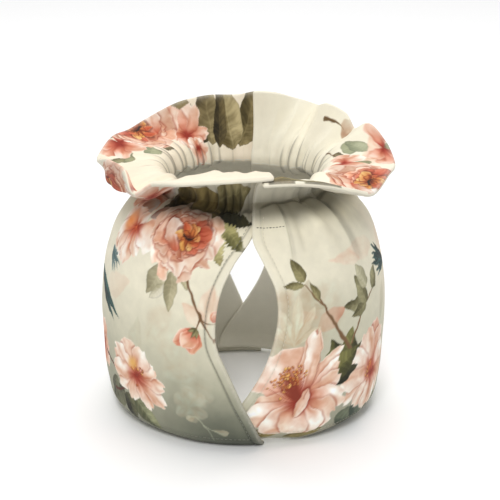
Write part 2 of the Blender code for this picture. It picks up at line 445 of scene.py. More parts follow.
def cloth_relief(side, angle, up, from_front, from_back):
    """All the fine lifts together, in millimetres."""
    from_edge = np.minimum(from_front, from_back)
    lift = fine_gathers(angle, up, from_edge) + creases(angle, up)
    lift += hems(side, up, from_front, from_back)
    lift += sum(ridge(angle, up, row) for row in PLEATS) + tucks(angle, up)
    uneven = noises(angle * FLAT, up, 34, 21) - 0.5
    lift += 0.9 * uneven * smooth_step(6, 30, up)
    lift -= 0.9 * channel(angle, up) * smooth_step(1, 8, from_edge)
    return lift - 0.3 * hill(up, HEM_LINE, 0.9)


neck_relief = cloth_relief(1, np.arange(60.0, 66), np.full(6, NECK_UP), 60, 60)
print("fine relief at the neck, mm:", neck_relief.round(2))


# %% [markdown]
# ## From the rule to a mesh
#
# The panel is padded, so it has an outside, an inside and soft round edges, and it is seen from
# both sides. Solidify would give every wall the same fine grid twice, and square edges. Here
# the fine grid is made only where the print shows. The edge is rolled over in a few rings from
# one face to the other, and the last ring is tied to a coarser grid by faces with four fine
# points for every two coarse ones, so the wall is closed without waste.

# %% A point of a panel, on its outside or its inside
def panel_frame(side, share, up):
    """The angle of a panel's points, and their degrees from its front edge and its back edge."""
    edge = panel_edge(side, up)
    sweep = 180 - 2 * edge
    return side * (edge + share * sweep), share * sweep, (1 - share) * sweep


def panel_points(side, share, up, relief):
    """Points of a panel's outside, and the way out of them. relief adds its own fine lift."""
    angle, from_front, from_back = panel_frame(side, share, up)
    along = np.interp(up, run_up, profile)
    lift = big_gathers(angle, up, np.minimum(from_front, from_back)) + folds(angle, up)
    lift += relief(side, angle, up, from_front, from_back)
    lift = lift * MM + lap(side, up, from_front, from_back)
    way_out = outward(angle, along)
    return on_round(angle, along) + lift[..., None] * way_out, way_out


# %% A closed wall: fine outside, rolled edges, inside of its own fineness
def loop_of(across, rows):
    """The numbers of a grid's border points, once round, starting at its first corner."""
    grid = np.arange(across * rows).reshape(rows, across)
    return np.concatenate([grid[0, :-1], grid[:-1, -1], grid[-1, :0:-1], grid[:0:-1, 0]])


def grid_faces(across, rows, first=0):
    """The four-sided faces of a grid of points, numbered row by row from first."""
    low = (np.arange(rows - 1)[:, None] * across + np.arange(across - 1)).ravel() + first
    return np.stack([low, low + 1, low + across + 1, low + across], 1)


def unit(vectors):
    """Those vectors, each made one long."""
    return vectors / np.maximum(np.linalg.norm(vectors, axis=-1, keepdims=True), 1e-12)


ROLL_STEPS = 5  # rings that round an edge from one face to the other
ROLL = 0.0012  # how far a rounded edge stands out
ABOVE_FLOOR = 0.00003  # the hem's clearance


def wall(name, side, share, up, coarser):
    """A closed cloth wall over the shares across and the heights up that are given.

    Returns the object, and for each of its points the share, the height up the cloth and the
    face that it is on: 0 outside, 1 inside, and between them on the rolled edge.
    """
    across, rows = len(share), len(up)
    fine_share, fine_up = (a.ravel() for a in np.meshgrid(share, up))
    few_share, few_up = (a.ravel() for a in np.meshgrid(share[::coarser], up[::coarser]))
    outside, way_out = panel_points(side, fine_share, fine_up, cloth_relief)
    inner, inner_way = panel_points(side, few_share, few_up, cloth_relief)
    inner = inner - THICKNESS * inner_way
    border = loop_of(across, rows)

    # Away from the cloth, in its own surface, at each border point
    grid = outside.reshape(rows, across, 3)
    off = np.zeros_like(grid)
    off[0] += grid[0] - grid[1]
    off[-1] += grid[-1] - grid[-2]
    off = unit(off)
    sideways = np.zeros_like(grid)
    sideways[:, 0] += grid[:, 0] - grid[:, 1]
    sideways[:, -1] += grid[:, -1] - grid[:, -2]
    off += unit(sideways)
    off = unit(off.reshape(-1, 3)[border])
    rings = []
    for step in range(1, ROLL_STEPS + 1):
        turn = math.pi * step / (ROLL_STEPS + 1)
        sink = THICKNESS * (1 - math.cos(turn)) / 2
        rings.append(outside[border] - sink * way_out[border] + ROLL * math.sin(turn) * off)

    points = np.concatenate([outside, *rings, inner])
    points[:, 2] = np.maximum(points[:, 2], ABOVE_FLOOR)
    loop, ring = len(border), len(outside)
    faces = [grid_faces(across, rows)]
    before = border
    for step in range(ROLL_STEPS):
        now = np.arange(loop) + ring + step * loop
        faces.append(np.stack([before, now, np.roll(now, -1), np.roll(before, -1)], 1))
        before = now
    first_inner = ring + ROLL_STEPS * loop
    few_across, few_rows = len(share[::coarser]), len(up[::coarser])
    few_border = loop_of(few_across, few_rows) + first_inner
    last = before.reshape(-1, coarser)
    back = [last[:, k] for k in range(coarser - 1, 0, -1)]
    corners = [last[:, 0], few_border, np.roll(few_border, -1), np.roll(last[:, 0], -1)]
    faces.append(np.stack([*corners, *back], 1))
    faces.append(grid_faces(few_across, few_rows, first_inner)[:, ::-1])
    outline = [face for part in faces for face in part.tolist()]
    if side < 0:
        outline = [face[::-1] for face in outline]
    mesh = bpy.data.meshes.new(name)
    mesh.from_pydata(points.tolist(), [], outline)
    mesh.validate()
    mesh.shade_smooth()
    on_edge = [np.full(loop, step / (ROLL_STEPS + 1)) for step in range(1, ROLL_STEPS + 1)]
    return placed(name, mesh), {
        "share": np.concatenate([fine_share, *[fine_share[border]] * ROLL_STEPS, few_share]),
        "up": np.concatenate([fine_up, *[fine_up[border]] * ROLL_STEPS, few_up]),
        "face": np.concatenate([np.zeros(ring), *on_edge, np.ones(len(inner))]),
    }


# %% [markdown]
# ## Painting on the flat cloth
#
# The panels are printed with watercolour flowers. An image texture would be the usual way; here
# the print is painted by code instead, so that it can be read and changed. Each point of the
# fine cloth knows where it lay on the flat cloth: u runs round the pot, v runs up from the hem,
# both in millimetres. A brush works out how much of a petal, leaf or stem covers each point and
# lays its colour over what is there. The finished colours are kept on the points.

# %% The cloth to paint on
class FlatCloth:
    """Points of flat cloth, in millimetres, the colour of each one, and where the flower is."""

    def __init__(self, u, v):
        # A brush never draws a perfect outline, so the paint goes on a slightly stirred cloth
        self.u = u + 2.6 * (noises(u, v, 12, 31) - 0.5) + 1.3 * (noise(u, v, 3.6, 33) - 0.5)
        self.v = v + 2.6 * (noises(u, v, 12, 32) - 0.5) + 1.3 * (noise(u, v, 3.6, 34) - 0.5)
        self.rgb = np.ones((len(u), 3))
        self.flower = np.zeros(len(u))

    def near(self, at, reach):
        """The numbers of the points within reach of a place."""
        return np.flatnonzero((np.abs(self.u - at[0]) < reach) & (np.abs(self.v - at[1]) < reach))

    def lay(self, where, colour, cover):
        """Lay a colour over those points, as far as cover says."""
        self.rgb[where] += (colour - self.rgb[where]) * cover[:, None]


def spot(angle, up):
    """The place on the flat cloth of an angle and a height up the cloth."""
    return np.array([angle * FLAT, up])


def path(*places):
    """The places on the flat cloth of several angles and heights."""
    return [spot(*place) for place in places]


def towards(turn):
    """One step in a direction, given in radians."""
    return np.array([math.cos(turn), math.sin(turn)])


def blend_colours(first, second, share):
    """From the first colour to the second one, for each point's share."""
    first, second = np.asarray(first, float), np.asarray(second, float)
    return first + (second - first) * np.asarray(share)[..., None]


def turned(cloth, where, at, turn):
    """Those points' places along and across a direction, in millimetres from a place."""
    c, s = math.cos(math.radians(turn)), math.sin(math.radians(turn))
    x, y = cloth.u[where] - at[0], cloth.v[where] - at[1]
    return x * c + y * s, y * c - x * s


# %% Brush: a petal
# Paint that is thinned or doubled keeps its red longest and loses its blue first
SHADED, VEINED, MOTTLED = (
    np.array(powers) for powers in ([0.40, 1.0, 1.4], [0.42, 1.0, 1.35], [0.45, 1.0, 1.3])
)


def petal(cloth, at, turn, length, width, foot, tip, middle=None, rim=None, widest=0.62, full=0.6,
          bend=0.0, shade=0.3, side=1, streak=0.22, ruffle=0.06, notch=0.0, seed=0, soft=0.35,
          cover=1.0, veins=10, shadow=False):
    """One petal from its foot at a place, towards a direction, shaded and streaked.

    bend curves it sideways, side is the side in shade, and seed makes its edge its own.
    """
    where = cloth.near(at, 1.15 * max(length, width) + abs(bend) * length)
    if not len(where):
        return
    x, y = turned(cloth, where, at, turn)
    x, y = x / length, y / (width / 2)
    y = y - bend * 4 * (x * x - 0.5 * x) * length / width
    ahead = np.clip(x, 1e-4, 0.9999)
    own = np.random.default_rng(seed).uniform(0, 6.28, 6)
    half = np.sin(np.pi * ahead ** (math.log(0.5) / math.log(widest))) ** full
    sign = np.sign(y)
    waves = np.sin(ahead * 9 + own[0] + sign) + 0.6 * np.sin(ahead * 19 + own[1] + 2 * sign)
    half *= 1 + ruffle * waves
    end = 1 - notch * hill(y, 0, 0.3) + ruffle * 0.5 * np.sin(y * 6 + own[2])
    inside = np.minimum((half - np.abs(y)) * width / 2, np.minimum(x, end - x) * length + 0.4)
    covered = smooth_step(-soft, soft, inside) * cover
    covered = covered * smooth_step(1.05, 0.98, x) * smooth_step(-0.03, 0.0, x)
    if shadow:
        covered = covered * cloth.flower[where]
    else:
        cloth.flower[where] = np.maximum(cloth.flower[where], covered)
    seen = covered > 0.004
    where, x, y, half, inside = where[seen], ahead[seen], y[seen], half[seen], inside[seen]
    if middle is None:
        colour = blend_colours(foot, tip, smooth_step(0, 0.95, x))
    else:
        colour = blend_colours(foot, middle, smooth_step(0, 0.4, x))
        colour = blend_colours(colour, tip, smooth_step(0.28, 0.8, x))
    form_shade = 1 - shade * smooth_step(-0.4, 0.9, y * side / (half + 0.1)) * (1 - 0.45 * x)
    colour = colour * form_shade[:, None] ** SHADED
    fan = y / (0.3 + half)
    line = (0.5 + 0.5 * np.sin(fan * veins + own[3] + 1.2 * np.sin(x * 3 + own[4]))) ** 3
    line = line * (0.55 + 0.45 * np.sin(x * 9 + fan * 3 + own[5]))
    colour = colour * (1 - streak * line * (1.1 - 0.7 * x))[:, None] ** VEINED
    pigment = noises(cloth.u[where], cloth.v[where], 6.5, seed % 89)
    colour = colour * (0.78 + 0.40 * pigment)[:, None] ** MOTTLED
    rolled = smooth_step(0.55, 0.95, (np.abs(y) / (half + 0.05))) * smooth_step(0.3, 0.8, x)
    colour = blend_colours(colour, np.minimum(tip, 0.96), 0.35 * rolled)
    if rim is not None:
        edge = np.exp(-np.maximum(inside, 0) / (0.02 * width + 0.25)) * smooth_step(0.15, 0.6, x)
        broken = smooth_step(0.30, 0.62, noise(cloth.u[where], cloth.v[where], 4.5, seed % 83 + 1))
        colour = blend_colours(colour, rim, 0.85 * edge * broken)
    cloth.lay(where, colour, covered[seen])


def petal_shadow(cloth, at, turn, length, width, colour, strength=0.4, **shape):
    """The soft shadow that a petal throws on the petals under it, and not past the flower."""
    petal(cloth, at, turn, length * 1.05, width * 1.10, colour, colour, soft=1.3, cover=strength,
          shade=0, streak=0, shadow=True, **shape)


def shaded_petal(cloth, at, turn, length, width, foot, tip, dark, strength, form, **paint):
    """A petal over the shadow that it throws, both of one form."""
    petal_shadow(cloth, at, turn, length, width, dark, strength, **form)
    petal(cloth, at, turn, length, width, foot, tip, **form, **paint)


# %% Brush: a stem, a dab and a leaf
def stroke(cloth, line, width, colour, end_width=None, soft=0.3, light=None, cover=1.0):
    """A brushed line through some places, thinning to end_width and lit on its upper side."""
    end_width = width if end_width is None else end_width
    line = np.array(line, float)
    spans = len(line) - 1
    steps = np.linspace(0, spans, spans * 8 + 1)
    span = np.clip(steps.astype(int), 0, spans - 1)
    line = curve_through(lambda i, places=line: places[i], spans, span, steps - span)
    low, high = line.min(0) - width, line.max(0) + width
    where = np.flatnonzero(
        (cloth.u > low[0]) & (cloth.u < high[0]) & (cloth.v > low[1]) & (cloth.v < high[1])
    )
    if not len(where):
        return
    here = np.stack([cloth.u[where], cloth.v[where]], 1)
    away, along, over = np.full(len(where), 1e9), np.zeros(len(where)), np.zeros(len(where))
    for i, (a, b) in enumerate(zip(line, line[1:])):
        run = b - a
        share = np.clip((here - a) @ run / max(run @ run, 1e-9), 0, 1)
        off = here - a - share[:, None] * run
        far = np.hypot(off[:, 0], off[:, 1])
        nearer = far < away
        away[nearer] = far[nearer]
        along[nearer] = (i + share[nearer]) / (len(line) - 1)
        over[nearer] = (off[nearer, 1] - 0.5 * off[nearer, 0]) / 1.1
    half = (width + (end_width - width) * along) / 2
    covered = smooth_step(-soft, soft, half - away) * cover
    colour = np.tile(np.asarray(colour, float), (len(where), 1))
    if light is not None:
        lit = smooth_step(-0.3, 0.9, over / np.maximum(half, 0.15))
        colour = blend_colours(colour, light, 0.85 * lit)
    cloth.lay(where, colour, covered)


def dab(cloth, at, radius, colour, soft=0.35, cover=1.0):
    """A round dab of colour."""
    where = cloth.near(at, radius + 2 * soft)
    far = np.hypot(cloth.u[where] - at[0], cloth.v[where] - at[1])
    cloth.lay(where, np.asarray(colour, float), smooth_step(-soft, soft, radius - far) * cover)


def leaf(cloth, at, turn, length, width, dark, light, bend=0.0, ribs=7, saw=0.0, soft=0.3,
         cover=1.0, rib_colour=None, seed=0):
    """A pointed leaf with a light half, a dark half, a midrib and side ribs."""
    where = cloth.near(at, 1.1 * max(length, width) + abs(bend) * length)
    if not len(where):
        return
    x, y = turned(cloth, where, at, turn)
    x, y = x / length, y / (width / 2)
    y = y - bend * 4 * (x * x - 0.7 * x) * length / width
    ahead = np.clip(x, 1e-4, 0.9999)
    own = np.random.default_rng(seed).uniform(0, 6.28, 3)
    half = (np.sin(np.pi * ahead**0.72)) ** 0.85 * (1 + 0.05 * np.sin(ahead * 11 + own[0]))
    half = half - saw * np.abs(((ahead * 9 + own[1]) % 1) - 0.2) * half
    inside = np.minimum((half - np.abs(y)) * width / 2, np.minimum(x, 1 - x) * length + 0.3)
    covered = smooth_step(-soft, soft, inside) * cover
    seen = covered > 0.004
    where, x, y, half, inside = where[seen], ahead[seen], y[seen], half[seen], inside[seen]
    tone = 0.5 + 0.34 * np.tanh(y * 2.5) + 0.16 * np.sin(x * 5 + own[2])
    rib = (0.5 + 0.5 * np.cos(2 * np.pi * (x * ribs - np.abs(y) * 0.9 / (0.3 + half) * 1.3))) ** 5
    finer = x * ribs * 3 - np.abs(y) * 2.6 / (0.3 + half) * 1.3
    between = (0.5 + 0.5 * np.cos(2 * np.pi * finer)) ** 2
    pigment = noises(cloth.u[where], cloth.v[where], 7, seed % 71 + 3)
    tone = tone + 0.30 * rib * (1 - 0.7 * np.abs(y) / (half + 0.05)) - 0.10 * between
    tone = tone + 0.9 * (pigment - 0.5)
    colour = blend_colours(dark, light, np.clip(tone, -0.15, 1.1))
    midrib = hill(y * width / 2, 0, 0.28 + 0.012 * width) * (1 - 0.7 * x)
    colour = blend_colours(colour, light if rib_colour is None else rib_colour, 0.65 * midrib)
    edge = np.exp(-np.maximum(inside, 0) / 0.5)
    colour = colour * (1 - 0.18 * edge)[:, None]
    cloth.lay(where, colour, covered[seen])


# %% [markdown]
# Flowers are built the way a watercolour painter builds them: far petals first, each over the
# soft shadow that it throws, then nearer ones, then the heart. Colours are written as a painter
# mixes them, from 0 to 1 on the screen's scale, and turned into light at the very end.

# %% Colours of the print
CREAM, PALE = (0.925, 0.900, 0.810), (0.885, 0.860, 0.775)
SAGE, MIST = (0.715, 0.705, 0.615), (0.47, 0.475, 0.41)
PETAL_WHITE, PETAL_PINK, BLUSH = (0.985, 0.950, 0.900), (0.885, 0.655, 0.550), (0.930, 0.785, 0.690)
CORAL, DEEP_CORAL, RED = (0.820, 0.460, 0.350), (0.715, 0.290, 0.195), (0.540, 0.160, 0.090)
GOLD, ORANGE = (0.870, 0.660, 0.350), (0.800, 0.480, 0.240)
OLIVE_DARK, OLIVE, OLIVE_LIGHT = (0.190, 0.165, 0.085), (0.400, 0.370, 0.235), (0.640, 0.610, 0.430)
SAGE_LEAF, GREY_LEAF, TWIG = (0.520, 0.530, 0.410), (0.640, 0.640, 0.530), (0.430, 0.310, 0.200)
TEAL_DARK, TEAL, TEAL_LIGHT = (0.070, 0.135, 0.125), (0.150, 0.330, 0.310), (0.380, 0.510, 0.480)
INK = (0.110, 0.060, 0.035)


# %% A rose in full bloom
def rose(cloth, at, size, seed=1, lean=(0.10, 0.08), pale=0.0, wide_by=0.0):
    """A full rose about size across, its heart leaning off the middle; wide_by flattens it."""
    pick = np.random.default_rng(seed)
    cloth.flower[:] = 0
    at = np.array(at)
    heart = at + np.array(lean) * size
    white_tip = blend_colours(BLUSH, PETAL_WHITE, 0.35 + 0.6 * pale)
    pink_foot = blend_colours(CORAL, PETAL_PINK, 0.2 + 0.8 * pale)
    blush = blend_colours(PETAL_PINK, BLUSH, pale)
    rings = (  # petals, reach, width, colours of foot, middle and tip, veins, shadow
        (8, 0.54, 0.50, pink_foot, BLUSH, white_tip, 0.20, 0.30),
        (7, 0.45, 0.42, CORAL, blush, white_tip, 0.24, 0.38),
        (6, 0.35, 0.36, DEEP_CORAL, CORAL, BLUSH, 0.30, 0.48),
        (6, 0.27, 0.28, RED, DEEP_CORAL, PETAL_PINK, 0.34, 0.55),
    )
    for count, reach, wide, foot, middle, tip, streak, depth in rings:
        first = pick.uniform(0, 360)
        for k in pick.permutation(count):
            turn = first + 360 * k / count + pick.uniform(-24, 24)
            out = (0.72 + 0.46 * pick.uniform()) * (1 + wide_by * math.cos(math.radians(2 * turn)))
            root = at + (heart - at) * (1 - reach / 0.6) + pick.normal(0, 0.012 * size, 2)
            own = int(pick.integers(1, 9999))
            form = dict(widest=pick.uniform(0.56, 0.78), full=pick.uniform(0.42, 0.62), ruffle=0.13,
                        seed=own, bend=pick.uniform(-0.22, 0.22), notch=0.20 * pick.uniform())
            length, width = reach * size * out, wide * size * (0.7 + 0.6 * pick.uniform())
            lit = pick.uniform(-0.12, 0.08)
            rim = blend_colours(tip, (0.98, 0.94, 0.88), 0.7)
            shaded_petal(cloth, root, turn, length, width, foot, np.array(tip) + lit,
                         (0.56, 0.22, 0.14), depth, form, middle=np.array(middle) + lit, rim=rim,
                         shade=0.30, side=pick.choice([-1, 1]), streak=streak + 0.08)
    # The heart: red petals folded over on one side, a pale one standing on the other, gold within
    cup = size * 0.225
    folded = ((-60, 1.15, 0.8), (-14, 1.3, 0.8), (52, 1.5, 0.9), (20, 1.6, 1.0))
    for k, (turn, reach, wide) in enumerate(folded):
        own = seed * 17 + k
        petal_shadow(cloth, heart, turn, cup * reach, cup * wide, (0.40, 0.11, 0.06), 0.5, seed=own)
        petal(cloth, heart, turn, cup * reach, cup * wide, RED, CORAL, middle=DEEP_CORAL, rim=PETAL_PINK,
              streak=0.5, seed=own, shade=0.4, bend=pick.uniform(-0.2, 0.2), ruffle=0.12, veins=14)
    foot_of_pale = heart + (-0.66 * cup, -0.95 * cup)
    form = dict(widest=0.60, full=0.55, ruffle=0.08, seed=seed * 13, bend=0.10)
    shaded_petal(cloth, foot_of_pale, 108, cup * 2.0, cup * 1.25, CORAL, (0.93, 0.88, 0.84),
                 (0.45, 0.15, 0.08), 0.6, form, middle=(0.89, 0.76, 0.70), rim=(0.98, 0.95, 0.90),
                 shade=0.34, side=1, streak=0.30, veins=9)
    for k, turn in enumerate((160, 205, 245, 285, 330, 12, 52, 88, 122)):
        own = seed * 10 + k
        reach = cup * (0.80 if k % 2 else 1.0) * pick.uniform(0.85, 1.12)
        tip = (GOLD, (0.90, 0.74, 0.47), (0.84, 0.58, 0.34), (0.80, 0.40, 0.26))[int(pick.integers(0, 4))]
        petal_shadow(cloth, heart, turn, reach, cup * 0.6, (0.36, 0.12, 0.05), 0.55, seed=own, widest=0.6)
        petal(cloth, heart, turn + pick.uniform(-14, 14), reach, cup * pick.uniform(0.42, 0.66),
              (0.40, 0.16, 0.06), tip, middle=ORANGE, rim=(0.95, 0.86, 0.64), streak=0.45,
              seed=own, shade=0.4, bend=pick.uniform(-0.3, 0.3))
    for k in range(6):
        turn = math.radians(60 * k + 25 + 14 * pick.uniform())
        curl = [heart + cup * out * towards(turn + on) for out, on in ((0.26, 0.0), (0.50, 0.6), (0.62, 1.2))]
        stroke(cloth, curl, size * 0.015, (0.42, 0.13, 0.05), size * 0.004, soft=0.3, cover=0.8)
    throat = [heart + (x * cup, y * cup) for x, y in ((-0.42, 0.10), (0, -0.10), (0.30, 0.06))]
    stroke(cloth, throat, size * 0.034, INK, size * 0.010, soft=0.35, cover=0.9)


# %% An open blossom with stamens
def stamens(cloth, at, turn, spread, reach, count, seed):
    """Thin threads from a blossom's throat, each with a gold tip."""
    pick = np.random.default_rng(seed)
    middle = np.array(at) + 0.72 * reach * towards(math.radians(turn))
    if spread < 30:
        dab(cloth, middle, 0.16 * reach, (0.50, 0.20, 0.12), soft=0.20 * reach, cover=0.55)
    for _ in range(count):
        way = math.radians(turn + pick.normal(0, spread))
        far = reach * pick.uniform(0.5, 1.0)
        tip = np.array(at) + far * towards(way)
        bow = np.array(at) + 0.5 * far * towards(way + 0.12)
        stroke(cloth, [at, bow, tip], 0.4, (0.52, 0.20, 0.13), 0.25, soft=0.25, cover=0.6)
        dab(cloth, tip - (0.2, 0.25), pick.uniform(0.6, 0.9), (0.36, 0.13, 0.06), soft=0.35, cover=0.7)
        dab(cloth, tip, pick.uniform(0.45, 0.8), pick.choice([GOLD, ORANGE, (0.70, 0.33, 0.14)]), soft=0.25)
        dab(cloth, tip + (0.18, 0.22), 0.25, (0.98, 0.86, 0.56), soft=0.18, cover=0.85)


def blossom(cloth, at, petals, seed=1, warm=0.0, stamen=None):
    """An open blossom. Each petal is (direction, length, width, bend, whiteness)."""
    cloth.flower[:] = 0
    for k, (turn, length, width, bend, white) in enumerate(petals):
        own = seed * 31 + k
        foot = blend_colours((0.70, 0.24, 0.15), (0.56, 0.13, 0.07), warm)
        pale = blend_colours(BLUSH, (0.960, 0.880, 0.820), white**2)
        middle = blend_colours(CORAL, pale, np.clip(0.30 + 0.85 * white - 0.25 * warm, 0, 1))
        tip = blend_colours(PETAL_PINK, PETAL_WHITE, min(1.0, 0.25 + 1.1 * white))
        form = dict(widest=0.62, full=0.62, ruffle=0.09, seed=own, bend=bend)
        shaded_petal(cloth, at, turn, length, width, foot, tip, (0.58, 0.26, 0.17), 0.5, form,
                     middle=middle, rim=(0.98, 0.95, 0.91), shade=0.32, side=1 if k % 2 else -1,
                     streak=0.30, notch=0.08, veins=7)
    dab(cloth, at, 1.5, RED, soft=1.8, cover=0.8)
    if stamen:
        stamens(cloth, at, *stamen, seed)


# %% Small things between the flowers
def bud(cloth, at, turn, size, seed=1):
    """A half-open bud in its green cup."""
    cloth.flower[:] = 0
    for k, (off, wide) in enumerate(((-22, 0.6), (24, 0.6), (0, 0.72))):
        form = dict(widest=0.6, full=0.7, ruffle=0.05, seed=seed + k)
        petal_shadow(cloth, at, turn + off, size * 0.95, size * wide, DEEP_CORAL, 0.35, **form)
        petal(cloth, at, turn + off, size * (1 - 0.08 * k), size * wide, DEEP_CORAL, BLUSH,
              middle=(0.86, 0.56, 0.46), rim=PETAL_WHITE, streak=0.34, **form)
    for off in (-38, 36, 4):
        leaf(cloth, at, turn + off, size * 0.36, size * 0.16, OLIVE, OLIVE_LIGHT, ribs=2, seed=seed)


def ghost(cloth, at, turn, length, width, colour, cover=0.35, seed=1, soft=0.9):
    """A pale washed-out petal or leaf, far behind the others."""
    petal(cloth, at, turn, length, width, colour, blend_colours(colour, CREAM, 0.45),
          soft=soft, cover=cover, streak=0.10, shade=0.12, seed=seed, ruffle=0.04)


def ghosts(cloth, *rows):
    """Washed-out shapes, each (angle, up, direction, length, width, colour, cover, seed, soft)."""
    for angle, up, *rest in rows:
        ghost(cloth, spot(angle, up), *rest)


def leaves(cloth, rows, seed_of, **kind):
    """Leaves, each (angle, up, direction, length, width, dark, light), with a seed worked out."""
    for angle, up, turn, length, width, dark, light in rows:
        seed = int(seed_of(up, turn, length, width))
        leaf(cloth, spot(angle, up), turn, length, width, dark, light, seed=seed, **kind)


def olive_leaves(cloth, rows):
    """Dark toothed leaves, each (angle, up, direction, length, width)."""
    leaves(cloth, ((*row, OLIVE_DARK, OLIVE) for row in rows),
           lambda up, turn, length, width: length + width, saw=0.15)


def sprig(cloth, line, width, rows=(), dark=SAGE_LEAF, light=GREY_LEAF):
    """A twig with leaves. Each leaf is (angle, up, direction, length, width)."""
    stroke(cloth, line, width, TWIG, width * 0.35, light=(0.66, 0.56, 0.43))
    for k, (angle, up, turn, length, wide) in enumerate(rows):
        leaf(cloth, spot(angle, up), turn, length, wide, dark, light, seed=k, ribs=5)


def frond(cloth, at, turn, count, length, spread, seed=1, dark=TEAL_DARK, light=TEAL):
    """A fan of narrow teal-green leaves."""
    pick = np.random.default_rng(seed)
    for k in range(count):
        way = turn + spread * (k / (count - 1) - 0.5) + pick.uniform(-3, 3)
        reach = length * (0.72 + 0.28 * math.sin(math.pi * (k + 0.7) / count)) * pick.uniform(0.92, 1.05)
        leaf(cloth, at, way, reach, reach * 0.15, dark, light, ribs=9, bend=pick.uniform(-0.04, 0.04),
             seed=seed + k, rib_colour=TEAL_LIGHT)


# %% [markdown]
# The flowers are set out one by one: big ones low at the front and high on the left shoulder,
# twigs and leaves between them, washed-out shapes behind. Places are given as the angle round
# the pot and the height up the cloth. Far things are painted first and near ones over them.

# %% The ground colour
def ground(cloth, side):
    """Cream above, sage towards the hem, cloudy all over."""
    u, v = cloth.u, cloth.v
    cloudy = noises(u, v, 42, 3)
    wisps = noises(u, v, 15, 61)
    cloth.rgb[:] = blend_colours(CREAM, PALE, smooth_step(0.35, 0.7, cloudy) * (0.9 if side < 0 else 0.35))
    low = smooth_step(108, 34, v + 30 * (cloudy - 0.5) + 12 * (wisps - 0.5))
    cloth.rgb[:] = blend_colours(cloth.rgb, SAGE, low * (0.92 if side < 0 else 0.62))
    if side < 0:
        dark = smooth_step(66, 12, v + 20 * (cloudy - 0.5) + 10 * (wisps - 0.5))
        dark *= 0.55 + 0.45 * hill(u, -14, 50)
        deep = smooth_step(34, 2, v + 8 * (wisps - 0.5)) * hill(u, -2, 34)
    else:
        beside = hill(u, 45, 42) * smooth_step(112, 78, v + 14 * (cloudy - 0.5))
        cloth.rgb[:] = blend_colours(cloth.rgb, (0.700, 0.695, 0.610), 0.55 * beside)
        dark = 0.6 * smooth_step(52, 4, v + 12 * (cloudy - 0.5)) * hill(u, 80, 62)
        deep = 0 * v
    cloth.rgb[:] = blend_colours(cloth.rgb, MIST, 0.9 * dark)
    cloth.rgb[:] = blend_colours(cloth.rgb, (0.27, 0.29, 0.245), 0.75 * deep)
    warm = smooth_step(0.5, 0.8, noises(u + 90, v, 55, 8)) * smooth_step(40, 90, v)
    cloth.rgb[:] = blend_colours(cloth.rgb, (0.93, 0.86, 0.78), 0.35 * warm)
    cloth.rgb *= (0.975 + 0.05 * noises(u, v, 5, 62))[:, None]


